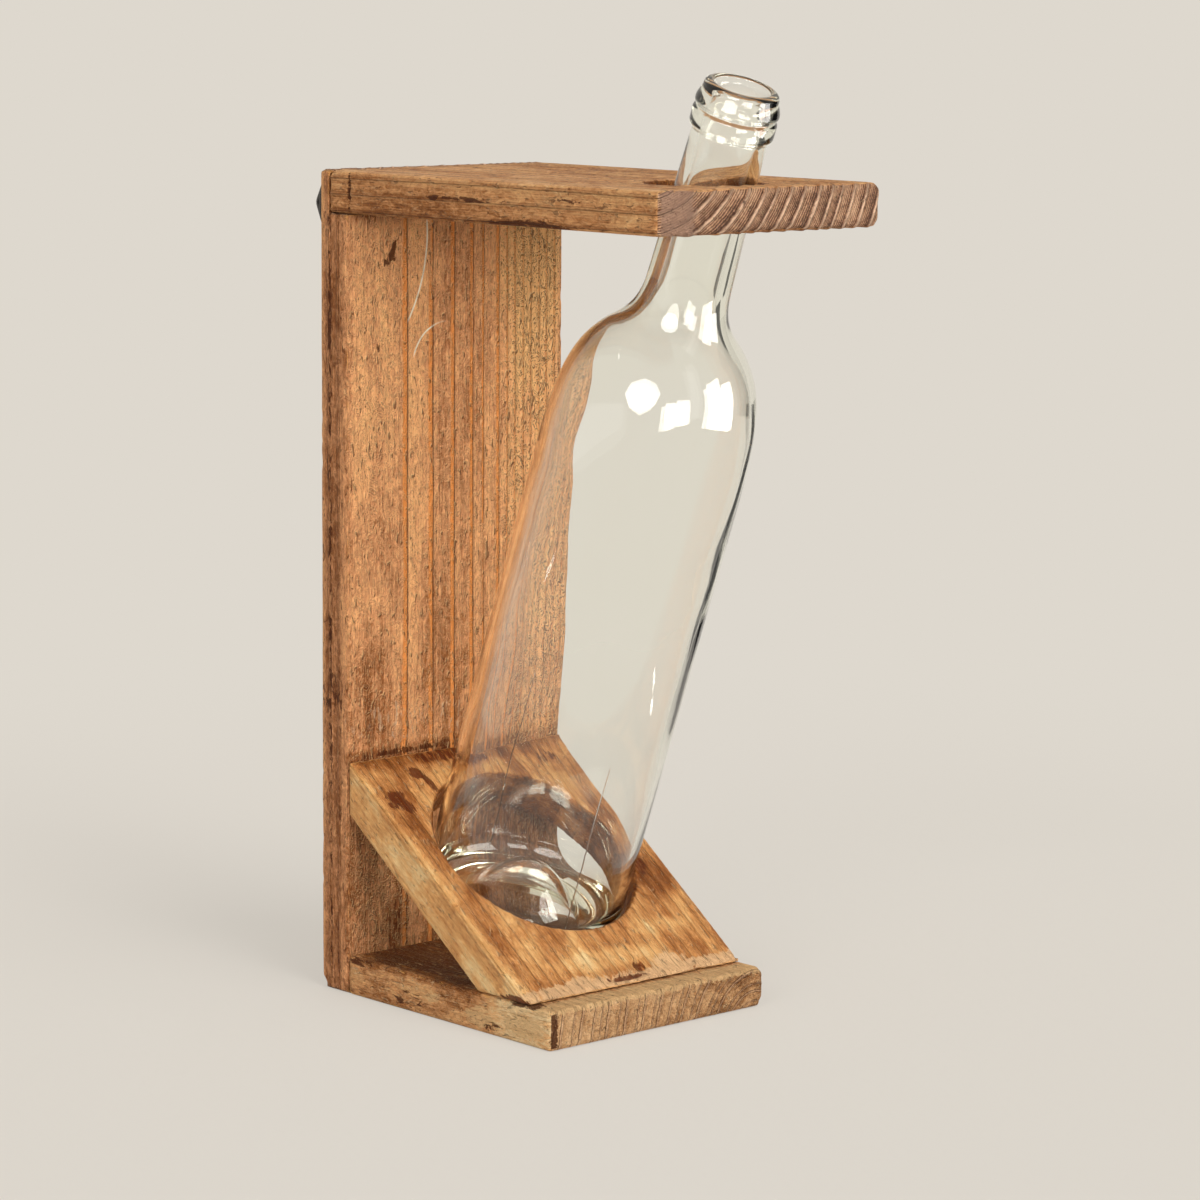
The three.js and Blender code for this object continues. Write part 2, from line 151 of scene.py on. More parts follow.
def makeRingGroup():
    # one growth ring after another: soft early wood, darker late wood, a hard line, then a thin groove
    tree, come, go = newGroup("growthRings", ("Turns", "Wobble", "Vector"),
                              ("Line", "Groove", "Late", "Shade", "Fine"))
    wander = grain(tree, alongGrain(tree, come["Vector"], 0.08), 300.0, 3.0)
    shift = calc(tree, "MULTIPLY", calc(tree, "SUBTRACT", wander, 0.5), come["Wobble"])
    turns = calc(tree, "ADD", come["Turns"], shift)
    part = calc(tree, "FRACT", turns)
    number = calc(tree, "FLOOR", turns)
    rise = ramp(tree, part, 0.70, 0.80)
    fall = ramp(tree, part, 0.90, 0.95, 1.0, 0.0)
    broken = ramp(tree, grain(tree, alongGrain(tree, come["Vector"], 0.12), 120.0, 4.0, 0.6), 0.3, 0.42)
    tree.links.new(calc(tree, "MULTIPLY", calc(tree, "MULTIPLY", rise, fall), broken), go["Line"])
    dip = calc(tree, "MULTIPLY", ramp(tree, part, 0.90, 0.95), ramp(tree, part, 0.96, 1.0, 1.0, 0.0))
    tree.links.new(calc(tree, "MULTIPLY", dip, broken), go["Groove"])
    fine = calc(tree, "FRACT", calc(tree, "MULTIPLY", turns, 7.0))
    fine = calc(tree, "ABSOLUTE", calc(tree, "SUBTRACT", fine, 0.5))
    tree.links.new(ramp(tree, fine, 0.1, 0.4), go["Fine"])
    tree.links.new(calc(tree, "MULTIPLY", ramp(tree, part, 0.15, 0.85), fall), go["Late"])
    random = place(tree, "ShaderNodeTexWhiteNoise", {"W": number}, noise_dimensions="1D").outputs["Value"]
    tree.links.new(random, go["Shade"])
    return tree


# layers of grain: squeeze along it, scale, detail, roughness, distortion, and the range spread to 0 and 1
fibreLayers = {
    "Bands": (0.07, 150.0, 3.0, 0.6, 0.0, 0.34, 0.66), "Streaks": (0.035, 620.0, 5.0, 0.62, 0.0, 0.34, 0.66),
    "Hair": (0.05, 2100.0, 3.0, 0.6, 0.0, 0.32, 0.68), "Mottle": (0.45, 85.0, 6.0, 0.66, 0.6, 0.33, 0.67),
    "Cloud": (0.6, 430.0, 5.0, 0.64, 1.2, 0.32, 0.68),
}


def makeFibreGroup():
    tree, come, go = newGroup("fibres", ("Vector",), (*fibreLayers, "Pores", "Pore Highlights", "Curls", "Curl Highlights"))
    along = come["Vector"]
    for label, (squeeze, *noiseValues, low, high) in fibreLayers.items():
        layer = grain(tree, alongGrain(tree, along, squeeze), *noiseValues)
        tree.links.new(ramp(tree, layer, low, high), go[label])
    # every pore and curl is drawn twice: the pale copy a little aside is a painted highlight, the rim that
    # would catch the light
    aside = vectorMath(tree, "ADD", along, (0.00038, 0.0, -0.0005))["Vector"]
    for vector, dark in ((along, True), (aside, False)):
        dash = grain(tree, alongGrain(tree, vector, 0.34), 760.0, 2.0, 0.5, 0.8)
        tree.links.new(ramp(tree, dash, 0.63, 0.69), go["Pores" if dark else "Pore Highlights"])
        curl = grain(tree, alongGrain(tree, vector, 0.40), 190.0, 3.0, 0.58, 1.9)
        steps = calc(tree, "FRACT", calc(tree, "MULTIPLY", curl, 10.0))
        near = calc(tree, "ABSOLUTE", calc(tree, "SUBTRACT", steps, 0.5))
        gaps = ramp(tree, grain(tree, vector, 520.0, 2.0), 0.36, 0.46)
        tree.links.new(calc(tree, "MULTIPLY", ramp(tree, near, 0.06, 0.18, 1.0, 0.0), gaps),
                       go["Curls" if dark else "Curl Highlights"])
    return tree


def makeRaggedGroup():
    # breaks a soft painted mask up, so that a worn edge or a stain ends raggedly along the grain
    tree, come, go = newGroup("ragged", ("Mask", "Vector", "Amount"), ("Mask",))
    rough = grain(tree, alongGrain(tree, come["Vector"], 0.26), 560.0, 5.0, 0.7, 0.8)
    push = calc(tree, "MULTIPLY", calc(tree, "SUBTRACT", rough, 0.5), come["Amount"])
    mask = ramp(tree, calc(tree, "ADD", come["Mask"], push), 0.38, 0.62)
    tree.links.new(calc(tree, "MULTIPLY", mask, ramp(tree, come["Mask"], 0.02, 0.2)), go["Mask"])
    return tree


ringGroup = makeRingGroup()
fibreGroup = makeFibreGroup()
raggedGroup = makeRaggedGroup()


def colourRamp(tree, value, stops):
    made = place(tree, "ShaderNodeValToRGB", (value,))
    elements = made.color_ramp.elements
    while len(elements) < len(stops):
        elements.new(0.5)
    for element, (position, colour) in zip(elements, stops):
        element.position = position
        element.color = (*colour, 1.0)
    return made.outputs["Color"]


def weigh(tree, start, *pairs):
    # start plus each (mask - 0.5) times its weight
    total = start
    for mask, weight in pairs:
        total = calc(tree, "ADD", total, calc(tree, "MULTIPLY", calc(tree, "SUBTRACT", mask, 0.5), weight))
    return total


def woodMaterial(name, look):
    material, tree, out = newMaterial(name)
    where = place(tree, "ShaderNodeTexCoord").outputs["Object"]
    along = stretch(tree, where, (1.0, 1.0, 1.0), look["grainTurn"])
    rings = useGroup(tree, ringGroup, {
        "Turns": attribute(tree, "turns"), "Wobble": look["wobble"], "Vector": along})
    fibres = useGroup(tree, fibreGroup, {"Vector": along})
    ragged = {}
    for label in ("edge", "stainAndCreaseShade", "pale"):
        ragged[label] = useGroup(tree, raggedGroup, {
            "Mask": attribute(tree, label), "Vector": along,
            "Amount": look["raggedStainAndShade" if label == "stainAndCreaseShade" else "ragged"]})["Mask"]
    endGrain = ramp(tree, attribute(tree, "endGrain"), 0.45, 0.8)
    pitted = attribute(tree, "pitted")
    # shade: tone changes together with painted shade and painted light, such as darker hole walls, a darker
    # ground under the seat and a lighter shelf top as painted sheen
    shade = attribute(tree, "shade")
    lines = attribute(tree, "lines")

    # faces along the grain: one value picks the tone
    value = weigh(tree, calc(tree, "ADD", shade, 0.5), (fibres["Bands"], look["bands"]),
                  (fibres["Streaks"], look["streaks"]), (fibres["Mottle"], look["mottle"]),
                  (fibres["Hair"], look["hair"]), (rings["Shade"], look["ringShade"]),
                  (rings["Fine"], look["fine"]), (fibres["Cloud"], look["cloud"]))
    value = calc(tree, "SUBTRACT", value, calc(tree, "MULTIPLY", rings["Late"], look["late"]))
    face = colourRamp(tree, value, look["tones"])
    sound = calc(tree, "MULTIPLY", lines, calc(tree, "MULTIPLY_ADD", pitted, -0.7, 1.0))
    line = calc(tree, "MULTIPLY", rings["Line"], calc(tree, "MULTIPLY", sound, look["line"]))
    face = mixColour(tree, line, face, look["lineTone"])
    groove = calc(tree, "MULTIPLY", rings["Groove"], calc(tree, "MULTIPLY", sound, look["groove"]))
    face = mixColour(tree, groove, face, look["poreTone"])

    # sawn ends: greyer, with pale hard lines
    value = weigh(tree, calc(tree, "ADD", shade, 0.5), (fibres["Mottle"], look["endMottle"]),
                  (fibres["Cloud"], look["endCloud"]), (fibres["Hair"], look["endHair"]),
                  (rings["Fine"], look["endRings"]))
    value = calc(tree, "SUBTRACT", value, calc(tree, "MULTIPLY", rings["Late"], look["endRings"]))
    ends = colourRamp(tree, value, look["endTones"])
    endLine = calc(tree, "MULTIPLY", rings["Line"], calc(tree, "MULTIPLY", lines, look["endLine"]))
    ends = mixColour(tree, endLine, ends, look["endLineTone"])
    endGroove = calc(tree, "MULTIPLY", rings["Groove"], calc(tree, "MULTIPLY", lines, 0.7))
    ends = mixColour(tree, endGroove, ends, look["poreTone"])
    colour = mixColour(tree, endGrain, face, ends)

    # pits, the painted highlights beside them, curls, wear
    pits = calc(tree, "MULTIPLY", fibres["Pores"], look["pores"])
    curls = calc(tree, "MULTIPLY", fibres["Curls"], calc(tree, "MULTIPLY_ADD", pitted, 0.5, look["curls"]))
    curlHighlights = calc(tree, "MULTIPLY", fibres["Curl Highlights"], calc(tree, "MULTIPLY_ADD", pitted, 0.6, look["curls"]))
    shown = calc(tree, "MULTIPLY_ADD", lines, 0.7, 0.3)
    curlHighlights = calc(tree, "MULTIPLY", curlHighlights, shown)
    poreHighlights = calc(tree, "MULTIPLY", fibres["Pore Highlights"], shown)
    # pale painted highlights beside the pores and the curls
    colour = mixColour(tree, calc(tree, "MULTIPLY", poreHighlights, look["poreHighlights"]), colour, look["highlightTone"])
    colour = mixColour(tree, curlHighlights, colour, look["highlightTone"])
    colour = mixColour(tree, calc(tree, "MULTIPLY", ragged["pale"], look["pale"]), colour, look["paleTone"])
    colour = mixColour(tree, calc(tree, "MULTIPLY", ragged["edge"], look["edge"]), colour, look["edgeTone"])
    colour = mixColour(tree, calc(tree, "MAXIMUM", pits, curls), colour, look["poreTone"])
    # stains, with painted shade in creases, at joints and in gaps
    colour = mixColour(tree, calc(tree, "MULTIPLY", ragged["stainAndCreaseShade"], look["stainAndCreaseShade"]), colour, look["stainAndShadeTone"])
    for mark in look["scratches"]:
        colour = mixColour(tree, scratchMask(tree, where, mark), colour, look["scratchTone"])

    sheen = calc(tree, "MULTIPLY_ADD", fibres["Streaks"], -0.16, look["roughness"])
    sheen = calc(tree, "MULTIPLY_ADD", ragged["pale"], 0.2, sheen, clamp=True)

    height = calc(tree, "MULTIPLY_ADD", rings["Line"], look["lineHeight"],
                  calc(tree, "MULTIPLY", fibres["Streaks"], 0.55))
    for mask, amount in ((fibres["Hair"], 0.25), (pits, -1.1), (fibres["Pore Highlights"], 0.4), (curls, -0.6),
                         (rings["Groove"], -0.8), (fibres["Cloud"], 0.6)):
        height = calc(tree, "MULTIPLY_ADD", mask, amount, height)
    bump = place(tree, "ShaderNodeBump", {"Height": height, "Strength": look["bump"], "Distance": 1.1 * mm})

    shader = place(tree, "ShaderNodeBsdfPrincipled", {
        "Base Color": colour, "Roughness": sheen, "Normal": bump.outputs[0],
        "Specular IOR Level": look["specular"], "Coat Weight": look["wax"], "Coat Roughness": 0.3})
    tree.links.new(shader.outputs[0], out.inputs["Surface"])
    return material


def scratchMask(tree, where, mark):
    # a thin arc scratched on the front, in mm: middle x, z, radius, half width, lowest, highest z, side
    x, z, radius, half, low, high = (v * mm for v in mark[:6])
    side, deepest, fade = mark[6], 51.0 * mm, 3.0 * mm
    flat = stretch(tree, vectorMath(tree, "SUBTRACT", where, (x, 0.0, z))["Vector"], (1.0, 0.0, 1.0))
    away = vectorMath(tree, "LENGTH", flat)["Value"]
    away = calc(tree, "ABSOLUTE", calc(tree, "SUBTRACT", away, radius))
    mask = ramp(tree, away, half * 0.4, half, 1.0, 0.0)
    parts = place(tree, "ShaderNodeSeparateXYZ", (where,)).outputs
    ends = (ramp(tree, parts["Z"], low, low + fade), ramp(tree, parts["Z"], high - fade, high, 1.0, 0.0),
            ramp(tree, parts["Y"], deepest, deepest + 1.0 * mm, 1.0, 0.0),
            ramp(tree, calc(tree, "MULTIPLY", calc(tree, "SUBTRACT", parts["X"], x), side), 0.0, 1.0 * mm))
    for end in ends:
        mask = calc(tree, "MULTIPLY", mask, end)
    return mask


# Wood: shape. A board is a copy of its solid with an even fine skin, worn and carved in place.

def softNoise(points, size, seed):
    # from about -1 to 1; the size of its hills is in mm
    return np.array([noise.noise(Vector(p)) for p in points / (size * mm) + seed])


def smoothStep(value, low, high):
    t = np.clip((value - low) / (high - low), 0.0, 1.0)
    return t * t * (3.0 - 2.0 * t)


def readVectors(collection, name):
    data = np.zeros(len(collection) * 3)
    collection.foreach_get(name, data)
    return data.reshape(-1, 3)


def neighbourMean(values, edges, count):
    total = np.zeros_like(values)
    number = np.zeros(count)
    for a, b in ((0, 1), (1, 0)):
        np.add.at(total, edges[:, a], values[edges[:, b]])
        np.add.at(number, edges[:, a], 1.0)
    return total / np.maximum(number, 1.0)[:, None]


def edgeMasks(mesh, reach):
    # outer and inner edges: how far the normals fan out nearby, and to which side
    count = len(mesh.vertices)
    edges = np.zeros(len(mesh.edges) * 2, dtype=np.int64)
    mesh.edges.foreach_get("vertices", edges)
    edges = edges.reshape(-1, 2)
    points = readVectors(mesh.vertices, "co")
    normals = readVectors(mesh.vertex_normals, "vector")
    meanNormal, meanPoint = normals, points
    for turn in range(reach):
        meanNormal = neighbourMean(meanNormal, edges, count)
        meanPoint = neighbourMean(meanPoint, edges, count)
    fan = 1.0 - np.linalg.norm(meanNormal, axis=1)
    outward = np.einsum("ij,ij->i", points - meanPoint, normals)
    return smoothStep(fan, 0.02, 0.2) * (outward > 0.0), smoothStep(fan, 0.02, 0.16) * (outward < 0.0)


def blob(points, row):
    x, y, z, rx, ry, rz = row[:6]
    offset = (points - np.array((x, y, z)) * mm) / (np.array((rx, ry, rz)) * mm)
    return 1.0 - smoothStep(np.linalg.norm(offset, axis=1), 0.35, 1.0)


def spots(points, rows):
    # soft blobs from a table of places, in mm; where they overlap, the strongest counts
    mask = np.zeros(len(points))
    for row in rows:
        mask = np.maximum(mask, row[6] * blob(points, row))
    return mask


def holeWall(points, normals, hole):
    # 1 on the wall of a board's round hole, which is given by its middle, axis and radius, in mm
    middle, axis, radius = hole
    spoke = points - np.array(middle) * mm
    spoke -= np.outer(spoke @ np.array(axis), np.array(axis))
    reach = np.linalg.norm(spoke, axis=1)
    inward = -np.einsum("ij,ij->i", normals, spoke) / np.maximum(reach, 1e-6)
    return smoothStep(inward, 0.3, 0.7) * (1.0 - smoothStep(reach, (radius + 8.0) * mm, (radius + 10.0) * mm))


def addObject(name, data):
    thing = bpy.data.objects.new(name, data)
    bpy.context.scene.collection.objects.link(thing)
    return thing


def makeSmooth(mesh):
    for polygon in mesh.polygons:
        polygon.use_smooth = True


def applyModifiers(piece):
    graph = bpy.context.evaluated_depsgraph_get()
    mesh = bpy.data.meshes.new_from_object(piece.evaluated_get(graph))
    piece.modifiers.clear()
    piece.data = mesh


def fineCopy(name, voxel):
    piece = addObject(name + "_piece", nodes[name].data.copy())
    made = bmesh.new()
    made.from_mesh(piece.data)
    bmesh.ops.remove_doubles(made, verts=made.verts, dist=1e-6)
    made.to_mesh(piece.data)
    made.free()
    remesh = piece.modifiers.new("skin", "REMESH")
    remesh.mode = "VOXEL"
    remesh.voxel_size = voxel
    applyModifiers(piece)
    return piece


def storeMask(mesh, name, values):
    layer = mesh.attributes.new(name, "FLOAT", "POINT")
    layer.data.foreach_set("value", values.astype(np.float32))


def weatherBoard(name, look):
    piece = fineCopy(name, look["voxel"])
    mesh = piece.data
    points = readVectors(mesh.vertices, "co")
    normals = readVectors(mesh.vertex_normals, "vector")
    along = np.array(Vector(look["grain"]).normalized())
    outer, inner = edgeMasks(mesh, 5)
    rim = edgeMasks(mesh, 2)[0]

    # growth rings: distance from the heart of the tree, wandering slowly along the board
    offset = points - np.array(look["pith"]) * mm
    offset -= np.outer(offset @ along, along)
    wander = softNoise(points - np.outer(points @ along, along) * 0.86, 30.0, look["seed"])
    radius = np.linalg.norm(offset, axis=1) + wander * look["wander"] * mm
    rings = np.array(look["rings"]) * mm
    turns = np.interp(radius, rings, np.arange(len(rings)))
    part = np.mod(turns, 1.0)
    ridge = smoothStep(part, 0.6, 0.86) * (1.0 - smoothStep(part, 0.93, 1.0))

    # wear: hollowed early wood, uneven faces, rubbed and chipped edges, dents
    run = points @ (np.eye(3) - np.outer(along, along) * 0.8)
    warp = softNoise(points, 50.0, look["seed"] + 5.0)
    ripple = softNoise(run, 4.0, look["seed"] + 9.0)
    fine = softNoise(run, 1.6, look["seed"] + 14.0)
    chip = softNoise(points, 11.0, look["seed"] + 21.0)
    chip += 0.5 * softNoise(points, 4.0, look["seed"] + 27.0)
    depth = sum(amount * layer for amount, layer in zip(look["uneven"], (warp, ripple, fine)))
    depth += (ridge - 0.6) * look["relief"]
    depth -= outer * (look["rounded"] + look["chipDepth"] * smoothStep(chip, 0.3, 0.85))
    for row in look["dents"]:
        depth -= row[6] * blob(points, row)
    depth = np.minimum(depth, look["highest"]) * mm
    if "restsAt" in look:
        depth *= smoothStep(np.abs(points[:, 2] - look["restsAt"]), 0.0, 0.4 * mm)
    moved = points + normals * depth[:, None]
    mesh.vertices.foreach_set("co", moved.ravel())
    mesh.update()

    wall = shade = np.zeros(len(points))
    # a hole's wall is darkened as painted shade inside the hole
    if "hole" in look:
        wall = holeWall(points, normals, look["hole"])
        shade = wall * look["holePaintedShade"]
    # tone changes, with painted light and painted shade among them
    for row in look["tonesAndPaintedShading"]:
        shade = shade + row[6] * blob(points, row)
    storeMask(mesh, "turns", turns)
    storeMask(mesh, "endGrain", np.abs(normals @ along) * (1.0 - 0.6 * wall))
    storeMask(mesh, "edge", np.clip(rim * (look["rubbed"] + 0.6 * warp), 0.0, 1.0))
    # stains, with painted shade added along the inner edges, where shade falls in creases
    storeMask(mesh, "stainAndCreaseShade", np.clip(spots(points, look["stainsAndPaintedShade"]) + 0.5 * inner, 0.0, 1.0))
    storeMask(mesh, "pale", spots(points, look["pales"]))
    storeMask(mesh, "pitted", spots(points, look["pits"]))
    storeMask(mesh, "lines", (1.0 - spots(points, look["plains"])) * (1.0 - wall))
    storeMask(mesh, "shade", shade)
    makeSmooth(mesh)
    mesh.materials.clear()
    mesh.materials.append(woodMaterial(look["slot"], look))
    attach(piece, "frame")
    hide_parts(name)


# what all four boards start from: tones, and how much of each layer of grain shows
wood = {
    "tones": [(0.0, srgb(96, 48, 16)), (0.25, srgb(158, 98, 50)), (0.5, srgb(214, 152, 98)),
              (0.75, srgb(240, 184, 124)), (1.0, srgb(252, 216, 162))],
    "endTones": [(0.0, srgb(70, 38, 22)), (0.3, srgb(142, 98, 70)), (0.55, srgb(200, 152, 118)),
                 (1.0, srgb(236, 196, 160))],
    "lineTone": srgb(246, 166, 96), "endLineTone": srgb(252, 208, 174), "poreTone": srgb(74, 36, 12),
    # the first tone on the next line colours the painted highlights beside pores and curls
    "highlightTone": srgb(252, 216, 166), "edgeTone": srgb(240, 174, 102), "paleTone": srgb(214, 178, 144),
    # the first tone on the next line colours stains and the painted shade in creases, joints and gaps
    "stainAndShadeTone": srgb(80, 36, 12), "scratchTone": srgb(255, 240, 212),
    "bands": 0.10, "streaks": 0.10, "mottle": 0.20, "cloud": 0.26, "hair": 0.16, "ringShade": 0.09,
    "late": 0.08, "line": 0.85, "groove": 0.7, "fine": 0.04, "endLine": 1.0, "endRings": 0.3,
    "pores": 0.5, "poreHighlights": 0.45, "curls": 0.24,
    "endMottle": 0.35, "endCloud": 0.3, "endHair": 0.2,
    "edge": 0.6, "pale": 0.8, "stainAndCreaseShade": 0.9, "rubbed": 0.8,
    "ragged": 2.2, "raggedStainAndShade": 3.52, "lineHeight": 0.9, "bump": 1.0,
    "roughness": 0.62, "specular": 0.12, "wax": 0.0, "wobble": 0.12, "wander": 1.0, "voxel": 1.0 * mm,
    # depths and heights in mm: three sizes of unevenness, hard rings, rounding of the edges, chips, the limit
    "uneven": (0.08, 0.05, 0.06), "relief": 0.18, "rounded": 0.22, "chipDepth": 0.35, "highest": 0.12,
    # places, each x, y, z, its reach along x, y and z, and a strength: hollows, dark marks with painted shade
    # at joints and gaps, pale marks, lighter or darker tone with painted light and shade, curly grain, and
    # plain wood where no rings show
    "dents": [], "stainsAndPaintedShade": [], "pales": [], "tonesAndPaintedShading": [], "pits": [], "plains": [], "scratches": [],
}

backBoard = {
    **wood,
    "slot": "back_wood",
    "grain": (0.0, 0.0, 1.0), "grainTurn": (0.0, 0.0, 0.0), "pith": (-40.0, 74.0, 0.0),
    "rings": [0, 8, 12, 15.5, 19.6, 24.2, 30.2, 38.4, 46.8, 54.6, 59.2, 66.2, 70, 73.6, 77.6,
              81, 85, 88.6, 92.4, 96, 99.4, 103],
    "tones": [(0.0, srgb(98, 48, 20)), (0.25, srgb(164, 102, 58)), (0.5, srgb(222, 155, 106)),
              (0.75, srgb(254, 186, 126)), (1.0, srgb(255, 195, 129))],
    "highlightTone": srgb(255, 210, 152), "lineTone": srgb(240, 150, 78), "poreTone": srgb(106, 52, 24),
    "line": 1.0, "groove": 0.6, "pores": 0.7, "poreHighlights": 0.55, "curls": 0.32,
    "seed": 3.1, "restsAt": 0.0, "wander": 0.5,
    "pits": [(40, 48.8, 150, 24, 8, 400, 0.8), (-40, 48.8, 260, 18, 6, 110, 0.25),
             (-36, 48.8, 45, 24, 6, 60, 0.7)],
    # tone with painted light and shade; first place: the left side darker, partly painted shade; places lower
    # on the front make it darker towards the bottom
    "tonesAndPaintedShading": [(-52.5, 57, 150, 3, 14, 900, -0.08), (-42, 48.8, 115, 14, 6, 40, -0.15),
               # the right lighter; the second place, at the top right under the shelf, is partly painted light
               (40, 48.8, 200, 20, 6, 160, 0.12), (36, 48.8, 275, 22, 6, 70, 0.44),
               # painted light over the whole front
               (0, 48.8, 180, 400, 6, 900, 0.14),
               (0, 48.8, 190, 24, 6, 190, -0.1), (-8, 48.8, 128, 18, 6, 50, -0.14),
               (-38, 48.8, 170, 18, 6, 40, -0.1), (-38, 48.8, 112, 20, 6, 34, -0.14),
               # first place on this line: painted shade under the seat
               (0, 48.8, 20, 90, 8, 90, -0.3), (0, 48.8, 105, 90, 6, 30, -0.08),
               # first place on this line: painted shade low down behind the bottle
               (20, 48.8, 40, 34, 6, 60, -0.3), (-52.5, 64.8, 150, 4, 3, 900, 0.3),
               # painted shade along the joint with the seat and under the shelf
               (0, 48.8, 88.4, 200, 4, 4, -0.3), (0, 48.8, 289, 200, 4, 5, -0.2)],
    "plains": [(-52.5, 57, 150, 3.5, 12, 900, 1), (22, 48.8, 40, 48, 5, 60, 0.8),
               (-30, 64.8, 90, 26, 5, 220, 0.8), (22, 64.8, 200, 24, 5, 240, 0.75),
               (48, 64.8, 60, 14, 5, 200, 0.6)],
    "stainsAndPaintedShade": [(-29.8, 48.8, 276, 1.7, 4, 3.6, 1.2), (-31.2, 48.8, 273.2, 2.1, 4, 3.4, 1.2),
               (-33.4, 48.8, 271.2, 2.6, 4, 2.2, 1.1), (-52.5, 57.4, 112, 4, 9, 10, 0.5),
               (-52.5, 58.8, 200, 3, 1.3, 330, 0.6), (-50.5, 48.8, 190, 1.6, 3, 4, 0.7),
               # first place on this line: painted shade along the joint with the seat
               (-24, 48.8, 88.8, 34, 3, 1.6, 0.7), (-38, 48.8, 240, 2, 3, 2.6, 0.5)],
    "pales": [(-20, 48.8, 100, 90, 5, 12, 0.3)],
    "dents": [(-29.8, 48.8, 276, 1.7, 4, 3.6, 0.8), (-31.2, 48.8, 273.2, 2.1, 4, 3.4, 0.8),
              (-25, 48.8, 91, 5, 3, 3, 0.8), (-2, 48.8, 91.5, 4, 3, 2, 0.6),
              (-52.5, 64.8, 0, 4, 4, 5, 1.6), (-52.5, 48.8, 0, 3, 3, 4, 0.8)],
    "scratches": [(-76.8, 281.7, 62.3, 0.5, 248.0, 287.0, 1.0),
                  (-5.0, 232.0, 16.3, 0.45, 235.0, 249.0, -1.0)],
}

topShelf = {
    **wood,
    "slot": "shelf_wood",
    "grain": (0.0, 1.0, 0.0), "grainTurn": (math.pi / 2, 0.0, 0.0), "pith": (-60.0, 0.0, 337.0),
    "rings": [0, 20, 30, 36, 41.5, 47.5, 53, 60, 66.5, 71, 77.5, 83, 90, 95.5, 100,
              106, 112, 118, 125],
    "lineTone": srgb(122, 68, 30), "line": 0.5, "groove": 0.3, "poreHighlights": 0.25, "curls": 0.08, "streaks": 0.12,
    "paleTone": srgb(172, 136, 114), "wax": 0.08, "endRings": 0.45,
    "seed": 7.7, "relief": 0.34, "voxel": 0.8 * mm,
    "hole": ((0.0, -83.25, 297.0), (0.0, 0.0, 1.0), 21.2), "holePaintedShade": -0.42,
    # first place: the top lighter, a painted sheen
    "tonesAndPaintedShading": [(0, -20, 305, 200, 400, 4, 0.10), (-50, -95, 297, 6, 30, 14, 0.12),
               (-52.5, 20, 297, 3, 50, 14, -0.08), (0, 0, 289.3, 200, 400, 2, -0.1)],
    "stainsAndPaintedShade": [(-52.5, -15, 297.6, 3, 46, 0.9, 0.7), (-52.5, -50, 288.6, 4, 32, 4.4, 1.3),
               (-52.5, 47.6, 298, 3, 1.2, 12, 0.8), (-52.5, -66, 299.4, 3, 26, 0.8, 0.5)],
    "pales": [(-46, -117.5, 297, 13, 3, 60, 1)],
    "plains": [(-46, -117.5, 297, 13, 5, 60, 1), (0, -20, 305, 400, 900, 6, 0.55),
               (0, -20, 289.3, 400, 900, 6, 0.4),
               (-52.5, -10, 297, 4, 900, 60, 0.45)],
    "dents": [(-52.5, -46, 289.3, 2.5, 18, 2.6, 1.4), (-52.5, 47.6, 298, 1.2, 1, 9, 0.7),
              (52.5, -117.5, 305, 3, 4, 3, 0.8), (52.5, -117.5, 289.3, 3, 4, 3, 0.8),
              (-52.5, -117.5, 297, 3, 3, 20, 0.7), (-52.5, 59.1, 305, 3, 8, 3, 0.6),
              (0, -117.5, 289.3, 30, 2.5, 2, 0.6), (-30, -117.5, 305, 12, 2.5, 2, 0.5)],
}

